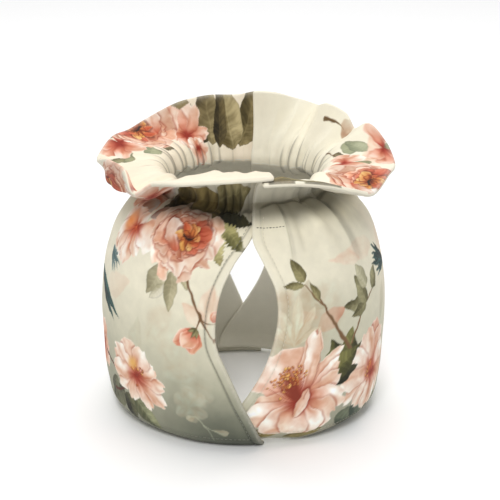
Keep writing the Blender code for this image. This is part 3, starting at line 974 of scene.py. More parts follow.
# %% The left panel's print, hem to frill
def print_left_front(cloth):
    """The rose on the shoulder, twigs, and the open blossoms near the hem."""
    ghosts(
        cloth,
        (-52, 96, 200, 30, 16, PETAL_PINK, 0.16, 3),
        (-45, 78, 260, 30, 14, GREY_LEAF, 0.22, 4),
        (-24, 92, -40, 20, 11, BLUSH, 0.5, 5),
        (-12, 104, -100, 22, 12, BLUSH, 0.5, 6),
    )
    far_petals = ((95, 13, 9), (150, 12, 9), (215, 12, 8), (40, 13, 9), (-35, 12, 9), (-80, 11, 8))
    for turn, *size in far_petals:
        ghost(cloth, spot(-21, 29), turn, *size, (0.66, 0.67, 0.58), 0.36, turn % 7 + 1, 1.4)
    for at, turn, size in ((spot(-33, 46), 20, 26), (spot(-27, 52), 100, 24), (spot(-24, 42), -20, 20)):
        ghost(cloth, at, turn, size, 0.7 * size, (0.76, 0.765, 0.675), 0.32, int(size), soft=4.0)
    stroke(cloth, path((-19, 22), (-16, 16), (-13.5, 11), (-12.5, 5)), 0.8, (0.70, 0.71, 0.61), 0.4,
           soft=0.4, cover=0.65)
    stroke(cloth, path((-16, 16), (-13, 13.5), (-11, 13)), 0.6, (0.70, 0.71, 0.61), 0.4, cover=0.6)
    for angle, up, turn, length in ((-12.5, 13.5, 0, 10), (-19, 22, 200, 7)):
        ghost(cloth, spot(angle, up), turn, length, 3.6, (0.72, 0.74, 0.64), 0.6, 8, soft=0.4)
    ghost(cloth, spot(-40, 62), 60, 30, 16, (0.80, 0.79, 0.69), 0.30, 2, soft=2.5)
    frond(cloth, spot(-72, 110), -42, 6, 19, 52, seed=5, dark=(0.30, 0.40, 0.40), light=(0.52, 0.60, 0.59))
    frond(cloth, spot(-84, 92), -30, 3, 44, 10, seed=8)
    leaves(cloth, (
        (-56, 22, 200, 26, 15, (0.13, 0.13, 0.08), (0.44, 0.44, 0.33)),
        (-54, 24, -82, 20, 13, (0.10, 0.09, 0.05), (0.36, 0.36, 0.24)),
        (-49, 24, -48, 28, 14, (0.22, 0.23, 0.13), (0.60, 0.61, 0.46)),
        (-62, 30, 235, 22, 11, (0.20, 0.20, 0.13), (0.48, 0.48, 0.37)),
        (-35, 112, -118, 22, 15, (0.50, 0.47, 0.35), (0.74, 0.71, 0.58)),
        (-31, 109, -88, 24, 10, (0.52, 0.49, 0.36), (0.76, 0.72, 0.58)),
        (-34, 100, -130, 14, 7, (0.66, 0.63, 0.50), PALE),
        (-27, 111, -60, 13, 7, (0.56, 0.53, 0.38), (0.78, 0.74, 0.60)),
    ), lambda up, turn, length, width: length, cover=0.85)
    sprig(cloth, path((-24, 107), (-20, 95), (-16.5, 84), (-11, 69.5), (-7, 58)), 1.7, [])
    stroke(cloth, path((-17.6, 88), (-14.5, 82), (-11, 81)), 0.9, TWIG, 0.5)
    stroke(cloth, path((-16.7, 85), (-17.4, 81), (-18.5, 77)), 1.1, TWIG, 0.7)
    bud(cloth, spot(-18, 77.5), 234, 17, 21)
    bud(cloth, spot(-10.5, 81), 75, 9, 25)
    # The rose on the shoulder, on its leaves
    for at, turn, length, width, dark, light, saw in (
        (spot(-48, 147), -20, 44, 22, (0.12, 0.09, 0.04), (0.34, 0.29, 0.15), 0.0),
        (spot(-50, 157), -6, 66, 28, (0.26, 0.21, 0.09), (0.66, 0.58, 0.36), 0.0),
        (spot(-18, 158), 12, 36, 24, (0.40, 0.36, 0.21), (0.74, 0.69, 0.50), 0.0),
        (spot(-14, 150), -14, 30, 17, (0.11, 0.11, 0.05), (0.30, 0.29, 0.16), 0.3),
        (spot(-13, 142), -40, 27, 16, (0.36, 0.35, 0.20), (0.70, 0.67, 0.45), 0.4),
        (spot(-14, 136), -72, 22, 13, (0.46, 0.43, 0.26), (0.80, 0.76, 0.55), 0.4),
    ):
        leaf(cloth, at, turn, length, width, dark, light, saw=saw, seed=int(width))
    blossom(cloth, spot(-67, 148), [
        (20, 26, 20, 0.05, 0.7), (-20, 24, 18, 0, 0.4), (-70, 22, 18, 0.1, 0.75),
        (200, 20, 17, 0, 0.3), (140, 22, 18, 0, 0.5), (80, 24, 20, -0.05, 0.3),
    ], seed=7, warm=0.4)
    petal(cloth, spot(-62, 133), 60, 17, 15, (0.66, 0.52, 0.46), (0.80, 0.79, 0.75), shade=0.3, seed=5)
    petal(cloth, spot(-52, 137), 15, 20, 13, (0.60, 0.50, 0.46), (0.74, 0.73, 0.70), shade=0.3, seed=6)
    blossom(cloth, spot(-58, 127), [
        (112, 14, 13, 0, 0.9), (62, 13, 12, 0, 0.8), (162, 24, 15, 0.05, 0.7),
        (205, 26, 17, 0.08, 0.9), (236, 24, 12, 0.04, 0.8), (264, 24, 13, -0.05, 0.75),
        (300, 20, 10, 0.08, 0.95), (-6, 28, 21, 0.05, 1.0),
    ], seed=11, warm=0.3)
    dab(cloth, spot(-64.5, 129), 4.5, (0.90, 0.53, 0.26), soft=5.0, cover=0.9)
    throat = (-58.5, 128)
    for end in ((-61, 118), (-57.5, 114), (-55, 119), (-64, 123)):
        middle = 0.55 * np.array(throat) + 0.45 * np.array(end)
        vein = path(throat, middle, end)
        stroke(cloth, vein, 1.0, (0.85, 0.42, 0.25), 0.3, soft=0.5, cover=0.7)
    rose(cloth, spot(-30.5, 130.5), 49, seed=3, lean=(0.135, 0.0), pale=0.55, wide_by=0.20)
    # The open blossoms near the hem
    blossom(cloth, spot(-80, 44), [
        (60, 20, 14, 0, 0.4), (120, 20, 16, 0, 0.6), (190, 20, 16, 0, 0.4), (250, 20, 14, 0, 0.6),
        (-40, 18, 12, 0, 0.5), (10, 16, 12, 0, 0.4),
    ], seed=14, warm=0.4, stamen=(90, 60, 9, 16))
    stroke(cloth, path((-74, 42), (-66, 37), (-60, 32), (-55, 30)), 1.6, (0.30, 0.12, 0.08), 1.0)
    stroke(cloth, path((-66, 20), (-60, 22.5), (-54, 27), (-50, 33)), 1.8, (0.34, 0.14, 0.09), 0.9)
    blossom(cloth, spot(-46.5, 39), [
        (118, 25, 19, 0.05, 1.0), (156, 29, 17, 0, 1.0), (205, 24, 14, 0.05, 0.7),
        (180, 29, 13, 0.04, 0.95), (250, 20, 12, 0, 0.8), (292, 23, 10, 0.1, 0.65),
        (-36, 27, 10, 0.06, 0.8), (-8, 23, 10, 0, 0.6), (30, 18, 12, 0, 0.8), (76, 20, 15, 0, 0.85),
    ], seed=16, warm=0.3, stamen=(60, 70, 7, 12))
    dab(cloth, spot(-49, 46), 3.4, (0.90, 0.70, 0.36), soft=3.2, cover=0.85)


def print_left_back(cloth):
    """A rose, blossoms and twigs, much as on the front."""
    ghosts(
        cloth,
        (-120, 100, 20, 34, 16, PETAL_PINK, 0.18, 31),
        (-160, 60, 120, 32, 14, GREY_LEAF, 0.25, 32),
        (-100, 22, 30, 28, 12, BLUSH, 0.35, 33),
    )
    sprig(cloth, path((-104, 62), (-99, 80), (-101, 98), (-96, 112)), 2.2,
          [(-99, 82, 20, 15, 7), (-100, 92, 150, 16, 7), (-97, 109, 60, 15, 7),
           (-101, 98, 200, 12, 5)])
    sprig(cloth, path((-140, 60), (-148, 74), (-150, 92), (-156, 104)), 2.0,
          [(-149, 78, 200, 15, 7), (-150, 90, 30, 15, 7), (-155, 102, 140, 13, 6)])
    frond(cloth, spot(-142, 30), 35, 7, 26, 56, seed=19)
    olive_leaves(cloth, (
        (-118, 66, 150, 34, 17), (-112, 38, -70, 30, 15), (-140, 52, 190, 30, 15), (-128, 80, 100, 26, 13),
        (-134, 140, 200, 30, 16), (-116, 134, -30, 26, 13), (-168, 132, -60, 30, 14),
    ))
    rose(cloth, spot(-124, 56), 48, seed=12, lean=(-0.08, 0.06), pale=0.3)
    blossom(cloth, spot(-126, 136), [
        (0, 24, 20, 0.05, 0.6), (55, 22, 18, 0, 0.5), (110, 22, 18, 0, 0.6),
        (160, 26, 20, 0.05, 0.75), (220, 24, 16, 0, 0.4), (270, 22, 18, 0, 0.6),
        (315, 22, 16, 0, 0.35),
    ], seed=37, warm=0.4, stamen=(80, 70, 10, 24))
    blossom(cloth, spot(-166, 30), [
        (20, 22, 16, 0, 0.5), (75, 24, 17, 0.05, 0.8), (130, 22, 16, 0, 0.5), (185, 22, 16, 0, 0.6),
        (240, 20, 16, 0, 0.4), (300, 20, 16, 0, 0.5),
    ], seed=39, warm=0.3, stamen=(80, 60, 9, 20))
    rose(cloth, spot(-168, 122), 34, seed=23, lean=(0.05, 0.06), pale=0.5)
    bud(cloth, spot(-96, 111), 80, 15, 41)
    bud(cloth, spot(-157, 104), 110, 13, 43)


def even_petals(first, length, width, bend, white, whiter):
    """Six petals set evenly round, each third one whiter than the last two."""
    return [(60 * k + first, length, width, bend, white + whiter * (k % 3)) for k in range(6)]


def print_left_under_frill(cloth):
    """What shows on the outside of the frill."""
    leaf(cloth, spot(-24, 186), 4, 44, 24, (0.34, 0.30, 0.17), OLIVE_LIGHT, seed=5)
    rose(cloth, spot(-63, 188), 42, seed=31, lean=(-0.1, -0.05), pale=0.2)
    blossom(cloth, spot(-42, 192), [
        (160, 18, 14, 0, 0.6), (220, 22, 16, 0, 0.7), (280, 20, 14, 0, 0.4), (-20, 18, 12, 0, 0.6),
        (60, 16, 12, 0, 0.4),
    ], seed=33, warm=0.3)
    leaf(cloth, spot(-84, 180), 170, 34, 15, OLIVE, OLIVE_LIGHT, seed=6)
    blossom(cloth, spot(-108, 186), even_petals(0, 19, 15, 0.03, 0.4, 0.1), seed=35, warm=0.4)
    leaf(cloth, spot(-132, 178), 160, 36, 17, OLIVE_DARK, OLIVE, seed=7)
    rose(cloth, spot(-152, 188), 36, seed=36, pale=0.3)


# %% The right panel's print, hem to frill
def print_right_front(cloth):
    """The great blossom at the front, one beside it, and the twig over them."""
    ghosts(
        cloth,
        (37, 113, -7, 30, 8, BLUSH, 0.50, 3),
        (48, 115, -4, 32, 13, BLUSH, 0.26, 4),
        (30, 82, 176, 14, 7, PETAL_PINK, 0.75, 5),
        (44, 84, 205, 24, 13, CORAL, 0.6, 6, 0.6),
        (22, 84, 70, 22, 7, GREY_LEAF, 0.5, 7),
        (20, 78, 110, 24, 8, GREY_LEAF, 0.4, 8),
        (35, 86, 165, 24, 6, GREY_LEAF, 0.8, 9),
        (31, 92, 160, 12, 5, SAGE_LEAF, 0.6, 10),
        (14, 52, 78, 52, 40, (0.71, 0.69, 0.585), 0.60, 11, 7.0),
        (30, 58, 84, 46, 34, (0.73, 0.71, 0.61), 0.45, 13, 7.0),
    )
    for turn, length, width in ((58, 26, 6), (84, 30, 7), (112, 25, 6), (30, 20, 5), (136, 20, 5)):
        ghost(cloth, spot(20, 66), turn, length, width, (0.83, 0.81, 0.70), 0.65, turn, soft=0.6)
    ghost(cloth, spot(70, 62), 70, 26, 10, SAGE_LEAF, 0.25, 12)
    frond(cloth, spot(85, 95), 163, 7, 31, 46, seed=6)
    leaves(cloth, (
        (44, 40, 112, 27, 15, (0.16, 0.16, 0.07), (0.42, 0.41, 0.22)),
        (44, 39, 80, 30, 17, (0.20, 0.20, 0.09), (0.56, 0.55, 0.33)),
        (42, 36, 52, 28, 12, (0.14, 0.14, 0.06), (0.36, 0.35, 0.18)),
        (40, 14, -20, 30, 14, (0.22, 0.25, 0.20), (0.44, 0.47, 0.38)),
        (50, 20, -55, 26, 13, (0.25, 0.29, 0.24), (0.42, 0.46, 0.38)),
        (34, 10, 200, 28, 13, (0.36, 0.33, 0.18), (0.60, 0.55, 0.35)),
        (14, 8, 185, 24, 13, (0.40, 0.35, 0.18), (0.62, 0.56, 0.34)),
        (60, 12, -10, 28, 14, (0.30, 0.33, 0.27), GREY_LEAF),
    ), lambda up, turn, length, width: turn % 9)
    sprig(cloth, path((47, 55), (43, 64), (38, 76), (34.5, 85), (31.5, 93)), 2.9,
          [(31.5, 92, 122, 13, 5.5)], OLIVE, OLIVE_LIGHT)
    sprig(cloth, path((34.5, 86), (30, 93), (26, 99), (24.3, 102)), 1.2,
          [(24.4, 104, 120, 16, 7), (24.2, 101.5, 172, 14, 5.5)], OLIVE, OLIVE_LIGHT)
    sprig(cloth, path((47, 60), (51, 70), (55, 79), (60, 85), (66, 90)), 1.6,
          [(56, 80, 168, 20, 10), (56.5, 81, 205, 15, 8), (57, 81, 118, 22, 10),
           (62, 87, 60, 16, 8)], (0.34, 0.32, 0.20), (0.62, 0.60, 0.45))
    leaf(cloth, spot(58, 91), 122, 18, 10, (0.56, 0.54, 0.42), (0.78, 0.76, 0.63), cover=0.85, seed=3)
    # The blossom at the side, then the great one at the front
    blossom(cloth, spot(63, 33), [
        (84, 34, 18, 0, 0.25), (60, 30, 18, 0, 0.5), (20, 27, 22, 0, 0.8), (-30, 24, 20, 0, 0.8),
        (196, 33, 12, 0.08, 0.7), (222, 27, 13, 0, 0.9), (-80, 24, 16, 0, 0.95),
        (253, 26, 12, 0.05, 1.0), (112, 32, 22, -0.04, 1.0), (150, 37, 22, 0.03, 1.0),
        (174, 34, 13, 0.05, 0.9),
    ], seed=44, warm=0.2, stamen=(128, 50, 8, 26))
    dab(cloth, spot(62, 37), 2.6, (0.86, 0.46, 0.24), soft=3.0, cover=0.7)
    dark_leaves = (
        (34, 40, 8, 27, 11, (0.09, 0.09, 0.04), (0.26, 0.26, 0.13)),
        (35, 40, 34, 30, 15, (0.18, 0.18, 0.08), (0.50, 0.49, 0.28)),
        (35, 44, 70, 18, 11, (0.15, 0.16, 0.07), (0.44, 0.44, 0.25)),
    )
    for seed, (angle, up, *rest) in enumerate(dark_leaves, 2):
        leaf(cloth, spot(angle, up), *rest, seed=seed)
    blossom(cloth, spot(23, 29), [
        (116, 38, 43, 0.0, 0.55), (50, 44, 9, -0.08, 0.8), (36, 38, 9, 0.06, 0.6),
        (82, 48, 10, -0.10, 0.95), (72, 48, 12, 0.10, 1.0), (22, 33, 12, 0.08, 0.8),
        (0, 34, 17, -0.06, 0.7), (-30, 28, 20, 0.05, 0.85), (176, 30, 14, 0.05, 0.8),
        (196, 38, 17, -0.04, 0.8), (-66, 24, 21, 0, 0.9), (218, 32, 18, 0.04, 0.95),
        (-108, 24, 22, 0.03, 0.9),
    ], seed=46, warm=0.8, stamen=(113, 17, 25, 120))
    # One petal is rolled into a pale trumpet over the others
    form = dict(widest=0.45, full=0.40, ruffle=0.03, seed=9, bend=0.05)
    petal_shadow(cloth, spot(21, 19), 60, 20, 7, (0.48, 0.12, 0.07), 0.8, **form)
    petal(cloth, spot(21, 19), 60, 20, 6.5, (0.97, 0.93, 0.88), (0.90, 0.76, 0.68), middle=(0.96, 0.90, 0.84),
          rim=(0.99, 0.97, 0.94), shade=0.28, streak=0.12, **form)
    stroke(cloth, path((25, 31), (30, 45), (32, 60), (31, 72)), 0.9, (0.62, 0.36, 0.28), 0.3, soft=0.4,
           cover=0.6)


def print_right_back(cloth):
    """A rose, blossoms and twigs, much as on the front."""
    ghosts(
        cloth,
        (100, 118, 200, 34, 14, PETAL_PINK, 0.22, 51),
        (150, 84, 40, 32, 12, GREY_LEAF, 0.3, 52),
        (108, 70, 60, 30, 12, BLUSH, 0.25, 53),
    )
    sprig(cloth, path((98, 52), (103, 68), (101, 84), (106, 98)), 2.2,
          [(103, 70, 20, 16, 7), (102, 80, 160, 15, 7), (105, 95, 60, 15, 7),
           (102, 88, 190, 12, 5)])
    sprig(cloth, path((138, 60), (146, 72), (148, 90), (155, 100)), 2.0,
          [(147, 80, 190, 15, 7), (149, 90, 20, 15, 7), (154, 99, 70, 13, 6)])
    frond(cloth, spot(160, 56), 205, 7, 26, 54, seed=29)
    olive_leaves(cloth, (
        (122, 52, 40, 32, 16), (110, 36, 200, 28, 14), (128, 30, -60, 26, 13), (136, 128, 130, 30, 15),
        (118, 110, 210, 28, 14), (150, 132, -20, 26, 13), (166, 24, 150, 26, 13),
    ))
    rose(cloth, spot(132, 118), 46, seed=17, lean=(0.08, 0.05), pale=0.4)
    blossom(cloth, spot(117, 38), [
        (10, 28, 18, 0.05, 0.6), (60, 26, 20, 0, 0.85), (105, 30, 18, 0.05, 0.9),
        (150, 26, 20, 0, 0.6), (205, 24, 18, 0, 0.5), (255, 22, 18, 0, 0.6), (310, 24, 18, 0, 0.5),
    ], seed=57, warm=0.4, stamen=(100, 40, 13, 36))
    blossom(cloth, spot(160, 28), [
        (20, 20, 15, 0, 0.5), (80, 21, 16, 0.05, 0.7), (140, 20, 15, 0, 0.5), (200, 20, 15, 0, 0.7),
        (260, 20, 15, 0, 0.4), (320, 19, 15, 0, 0.6),
    ], seed=59, warm=0.3, stamen=(90, 70, 8, 18))
    bud(cloth, spot(106.5, 97), 70, 15, 61)
    bud(cloth, spot(156, 100), 60, 13, 63)


def print_right_under_frill(cloth):
    """What shows on the outside of the frill."""
    leaf(cloth, spot(96, 176), 20, 36, 16, OLIVE, OLIVE_LIGHT, seed=5)
    blossom(cloth, spot(112, 188), even_petals(12, 19, 15, 0.03, 0.5, 0.1), seed=65, warm=0.4)
    leaf(cloth, spot(140, 180), 160, 34, 15, OLIVE_DARK, OLIVE, seed=7)
    rose(cloth, spot(160, 188), 36, seed=38, pale=0.3)


# %% The print on the inside of the frill
def print_inside_left(cloth):
    """Darker flowers and leaves on the inside of the left frill."""
    cloth.rgb[:] = blend_colours((0.94, 0.91, 0.82), (0.93, 0.87, 0.78), noises(cloth.u, cloth.v, 30, 12))
    ghosts(
        cloth,
        (-112, 186, 150, 40, 20, PETAL_PINK, 0.45, 71),
        (-148, 176, 120, 26, 16, BLUSH, 0.6, 72),
    )
    leaves(cloth, (
        (-150, 170, 74, 44, 26, (0.26, 0.22, 0.12), (0.56, 0.50, 0.34)),
        (-158, 168, 92, 46, 26, (0.34, 0.29, 0.17), (0.66, 0.60, 0.43)),
        (-178, 166, 112, 48, 26, (0.30, 0.26, 0.14), (0.60, 0.54, 0.37)),
        (-172, 164, 84, 50, 30, (0.38, 0.33, 0.19), (0.72, 0.66, 0.49)),
        (-163, 166, 98, 46, 13, (0.18, 0.15, 0.07), (0.46, 0.40, 0.25)),
        (-154, 170, 60, 34, 14, (0.15, 0.12, 0.06), (0.40, 0.35, 0.22)),
        (-104, 172, 160, 18, 12, (0.52, 0.54, 0.42), (0.70, 0.70, 0.57)),
        (-92, 183, 170, 20, 9, (0.42, 0.42, 0.30), (0.60, 0.60, 0.46)),
        (-124, 168, 60, 14, 8, (0.38, 0.34, 0.24), (0.56, 0.52, 0.40)),
        (-118, 196, 40, 22, 9, (0.30, 0.28, 0.18), (0.52, 0.50, 0.36)),
        (-88, 192, 200, 18, 8, (0.36, 0.34, 0.24), (0.56, 0.54, 0.40)),
    ), lambda up, turn, length, width: up % 7)
    blossom(cloth, spot(-143, 178), [
        (172, 22, 15, 0, 0.3), (118, 28, 16, 0.04, 0.55), (84, 28, 13, -0.05, 0.3),
        (55, 22, 12, 0, 0.5), (222, 16, 13, 0, 0.4), (20, 16, 12, 0, 0.3), (-40, 15, 12, 0, 0.55),
        (-90, 14, 12, 0, 0.4),
    ], seed=73, warm=0.8)
    blossom(cloth, spot(-107, 196), [
        (15, 20, 12, 0.05, 0.2), (70, 16, 12, 0, 0.1), (-35, 18, 12, 0, 0.4),
        (160, 22, 13, 0.05, 0.2), (215, 20, 12, 0, 0.3), (260, 18, 12, 0, 0.5),
    ], seed=75, warm=1.0)
    rose(cloth, spot(-126, 196), 52, seed=77, lean=(0.04, 0.08), pale=0.0)
    rose(cloth, spot(-72, 196), 34, seed=79, lean=(0.0, -0.02), pale=0.0)
    blossom(cloth, spot(-146, 166), even_petals(0, 11, 9, 0, 0.6, 0), seed=81, warm=0.8)
    blossom(cloth, spot(-46, 204), [
        (190, 14, 10, 0, 0.5), (230, 16, 10, 0, 0.4), (270, 14, 10, 0, 0.6),
    ], seed=83)


def print_inside_right(cloth):
    """Leaves and a rose on the inside of the right frill."""
    cloth.rgb[:] = blend_colours((0.945, 0.925, 0.845), (0.93, 0.90, 0.81), noises(cloth.u, cloth.v, 30, 13))
    stroke(cloth, path((127, 195.5), (122, 196.5), (116, 197)), 2.4, (0.42, 0.34, 0.22), 1.0, light=TWIG)
    ghosts(
        cloth,
        (99, 200, 195, 34, 16, BLUSH, 0.75, 91),
        (113, 190, 80, 16, 12, (0.70, 0.58, 0.47), 0.8, 92, 0.5),
    )
    leaves(cloth, (
        (100, 186, 200, 18, 11, (0.50, 0.52, 0.40), (0.66, 0.67, 0.54)),
        (90, 190, -20, 17, 11, (0.52, 0.54, 0.43), (0.68, 0.69, 0.57)),
        (84, 199, 20, 16, 9, (0.42, 0.43, 0.32), (0.60, 0.60, 0.46)),
        (81, 192, 240, 16, 9, (0.46, 0.45, 0.33), (0.62, 0.61, 0.47)),
        (96, 172, 160, 13, 6, (0.40, 0.36, 0.26), (0.55, 0.50, 0.38)),
        (43, 194, 182, 40, 26, (0.36, 0.32, 0.19), (0.66, 0.61, 0.44)),
        (22, 193, 177, 30, 26, (0.26, 0.22, 0.12), (0.54, 0.48, 0.32)),
        (47, 192, 192, 26, 12, (0.46, 0.45, 0.31), (0.70, 0.67, 0.51)),
        (34, 198, 184, 30, 14, (0.30, 0.27, 0.15), (0.58, 0.54, 0.37)),
    ), lambda up, turn, length, width: up % 7)
    stroke(cloth, path((104, 168), (98, 172), (92, 171)), 1.0, TWIG, 0.5)
    blossom(cloth, spot(92, 201), [
        (150, 18, 10, 0, 0.3), (190, 20, 10, 0.05, 0.2), (225, 16, 10, 0, 0.4),
        (10, 16, 10, 0, 0.3),
    ], seed=93, warm=0.6)
    blossom(cloth, spot(80, 176), [
        (200, 20, 11, 0, 0.8), (160, 22, 12, 0.04, 0.6), (120, 20, 12, 0, 0.7),
        (-10, 18, 11, 0, 0.5), (40, 16, 11, 0, 0.7), (250, 14, 10, 0, 0.6),
    ], seed=95, warm=0.3)
    rose(cloth, spot(64, 192), 46, seed=97, lean=(-0.04, 0.12), pale=0.0)


# %% [markdown]
# ## The two panels
#
# Each panel is one length of cloth, but its mesh is made in two pieces that meet in the elastic
# of the neck. The frill shows both of its sides, so both get the fine grid there. On the body the
# grid is closer near the spout, where the print is looked at most.

# %% Make the cloth of both panels
HEM_UP = -3.4  # the outside ends where the cloth turns under
even = np.linspace(0, 1, 3 * 112 + 1)
body_share = even - 0.3 * np.sin(math.pi * even) / math.pi
body_up = np.linspace(HEM_UP, NECK_UP, 3 * 80 + 1)
frill_share = np.linspace(0, 1, 460)
frill_up = np.linspace(NECK_UP, RIM_UP, 76)
cloth = {}
for side, hand in ((-1, "left"), (1, "right")):
    for part, share, up, coarser in (
        ("body", body_share, body_up, 3),
        ("frill", frill_share, frill_up, 1),
    ):
        name = f"panel_{hand}_{part}"
        piece, points = wall(name, side, share, up, coarser)
        cloth[name] = (side, piece, points)
        print(name, "triangles:", sum(len(face.vertices) - 2 for face in piece.data.polygons))


# %% [markdown]
# Each point of the cloth is painted where it lies flat. The outside takes the panel's print, the
# inside of the frill takes its own, because the cloth is folded double there, and the inside of
# the body is plain. The screen colours become light only here, by the usual curve.

# %% Paint the cloth
PLAIN_INSIDE = (0.900, 0.885, 0.830)


def as_light(rgb):
    """Screen colours from 0 to 1, as linear light."""
    rgb = np.clip(rgb, 0, 1)
    return np.where(rgb <= 0.04045, rgb / 12.92, ((rgb + 0.055) / 1.055) ** 2.4)


def painted(side, part, points):
    """The colour of each point of a piece of cloth."""
    angle = panel_frame(side, points["share"], points["up"])[0]
    inner = points["face"] > 0.6
    rgb = np.tile(np.array(PLAIN_INSIDE), (len(angle), 1))
    outer = FlatCloth(angle[~inner] * FLAT, points["up"][~inner])
    ground(outer, side)
    prints = {
        (-1, "body"): (print_left_front, print_left_back),
        (-1, "frill"): (print_left_front, print_left_back, print_left_under_frill),
        (1, "body"): (print_right_front, print_right_back),
        (1, "frill"): (print_right_front, print_right_back, print_right_under_frill),
    }
    for paint in prints[side, part]:
        paint(outer)
    rgb[~inner] = outer.rgb
    if part == "frill":
        inside = FlatCloth(angle[inner] * FLAT, points["up"][inner])
        (print_inside_left if side < 0 else print_inside_right)(inside)
        rgb[inner] = inside.rgb
    return rgb


for name, (side, piece, points) in cloth.items():
    rgba = np.ones((len(points["up"]), 4), np.float32)
    rgba[:, :3] = as_light(painted(side, name.split("_")[-1], points))
    colour = piece.data.color_attributes.new("Print", "FLOAT_COLOR", "POINT")
    colour.data.foreach_set("color", rgba.ravel())
    print(name, "painted, mean colour", rgba[:, :3].mean(0).round(2).tolist())


# %% Where each point lies on the flat cloth, how rubbed it is, and the painted shade in its gathers and under the frill
RUBBED_WIDTH = 1.1  # millimetres from an edge within which the cloth is rubbed
FACE_APART = 40  # keeps the weave of the inside clear of the weave of the outside
# Strength of the painted shade in each kind of hollow: between gathers, under the frill, in the elastic's
# channel and beside a tuck
IN_VALLEY, BELOW_FRILL, IN_CHANNEL, BESIDE_TUCK = 0.4, 0.80, 0.45, 0.22  # shade of each hollow


def keep_numbers(piece, name, kind, values):
    """Keep one value for each point of a piece, under a name that materials can read."""
    kept = piece.data.attributes.new(name, kind, "POINT")
    field = "vector" if kind == "FLOAT_VECTOR" else "value"
    kept.data.foreach_set(field, np.ascontiguousarray(values, np.float32).ravel())


def in_valley(angle, up, from_edge, outside):
    """How much painted shade a point gets between two gathers; more inside the frill, but not at its rim."""
    valley = np.clip(-fine_gathers(angle, up, from_edge), 0, 0.9) / 0.9
    inside = 1.5 * smooth_step(0.25, 0.8, valley) * (1 - smooth_step(176, 190, up))
    return valley * np.where(outside, 0.7, inside)


def below_frill(angle, up):
    """How much light the frill keeps off the cloth under it, most of all in front."""
    in_front = hill(np.maximum(np.abs(angle - 12) - 45, 0), 0, 25)
    start = 135 - 4 * hill(angle, 27, 7)
    shade = smooth_step(start, 148, up) * (1 - 0.45 * smooth_step(152, 166, up))
    return shade * (0.62 + 0.38 * in_front)


def past_tucks(angle, up):
    """The shade at the foot of each tuck's step."""
    shade = 0
    for row in TUCKS:
        away, ends = beside_tuck(angle, up, row)
        height, width = row[4:]
        shade = shade + hill(away - 1, width, 1 + width) * ends * height
    return shade


for name, (side, piece, points) in cloth.items():
    up, face = points["up"], points["face"]
    angle, from_front, from_back = panel_frame(side, points["share"], up)
    place = np.stack([angle * FLAT, up, FACE_APART * face], 1) * MM
    from_any = np.minimum(from_front, from_back)
    from_edge = from_any * FLAT
    rolled = np.minimum(np.minimum(from_edge, up - HEM_UP), RIM_UP - up)
    rubbed = np.exp(-np.maximum(rolled, 0) / RUBBED_WIDTH)
    outside = face < 0.5
    # Painted shade along the groove of the stitched hems, stronger on the left panel
    firm = 0.5 if side < 0 else 0.12
    stitched = firm * hill(from_edge * 0.95, HEM_WIDTH, 0.8) * (up < NECK_UP - 8)
    # Painted shade, kept as a value on the points: darker between gathers, under the frill, along the
    # elastic's channel, by the hems and at the foot of each tuck
    painted_shade = IN_VALLEY * in_valley(angle, up, from_any, outside)
    painted_shade = painted_shade + BELOW_FRILL * (below_frill(angle, up) * outside)
    painted_shade = painted_shade + IN_CHANNEL * (channel(angle, up) * smooth_step(1, 8, from_any) * outside)
    painted_shade = painted_shade + stitched * outside + BESIDE_TUCK * past_tucks(angle, up) * outside
    painted_shade = np.clip(painted_shade, 0, 1)
    keep_numbers(piece, "Cloth place", "FLOAT_VECTOR", place)
    keep_numbers(piece, "Rubbed", "FLOAT", rubbed)
    keep_numbers(piece, "Painted shade", "FLOAT", painted_shade)
    print(name, "mean rubbed and hollow:", round(float(rubbed.mean()), 3), round(float(painted_shade.mean()), 3))


# %% [markdown]
# ## What cotton looks like close up
#
# The cloth is a plain weave of fine cotton: each thread goes over one and under the next. Its
# threads are half a millimetre apart, so from arm's length they only make the surface soft and a
# little uneven. The weave, the slight thick and thin of the threads, and the rubbed edges are
# used by more than one material, so each is a shader node group with named inputs. The groups
# measure on the flat cloth, so the threads run with the panel and not through the air.

# %% Small helpers to build node trees
def give(tree, node, inputs):
    """Set a node's inputs, by name or by number, to plain values or link them to outputs."""
    for socket, value in dict(inputs).items():
        if isinstance(value, bpy.types.NodeSocket):
            tree.links.new(value, node.inputs[socket])
        else:
            node.inputs[socket].default_value = value


def add_node(tree, kind, inputs=(), **settings):
    """A new node with its settings and its inputs."""
    node = tree.nodes.new(kind)
    for label, value in settings.items():
        setattr(node, label, value)
    give(tree, node, inputs)
    return node


def new_tree(name, kind, inputs, outputs):
    """An empty node tree with named sockets. Returns it, its two ends and its inputs' keys."""
    tree = bpy.data.node_groups.new(name, kind)
    keys = {}
    for label, socket_kind, value in inputs:
        socket = tree.interface.new_socket(name=label, in_out="INPUT", socket_type="NodeSocket" + socket_kind)
        keys[label] = socket.identifier
        if value is not None:
            socket.default_value = value
    for label, socket_kind in outputs:
        tree.interface.new_socket(name=label, in_out="OUTPUT", socket_type="NodeSocket" + socket_kind)
    return tree, tree.nodes.new("NodeGroupInput"), tree.nodes.new("NodeGroupOutput"), keys


def reckon(tree, operation, *values):
    """A Math node whose inputs are sockets or plain numbers. Returns its output."""
    return add_node(tree, "ShaderNodeMath", enumerate(values), operation=operation).outputs[0]


def times(tree, *values):
    """Two values multiplied."""
    return reckon(tree, "MULTIPLY", *values)


def cloudy_node(tree, place, scale, detail=2.0):
    """A noise texture over a place, from 0 to 1. Returns its value."""
    noise = {"Scale": scale, "Detail": detail, "Vector": place}
    return add_node(tree, "ShaderNodeTexNoise", noise).outputs[0]


def scaled_colour(tree, colour, tone):
    """A colour made lighter or darker by a tone. Returns the output."""
    return add_node(tree, "ShaderNodeVectorMath", {0: colour, "Scale": tone}, operation="SCALE").outputs[0]


def add_bump(tree, shader, height, strength, distance):
    """Let a height change how the surface catches the light."""
    bump = add_node(tree, "ShaderNodeBump", {"Strength": strength, "Distance": distance, "Height": height})
    tree.links.new(bump.outputs["Normal"], shader.inputs["Normal"])


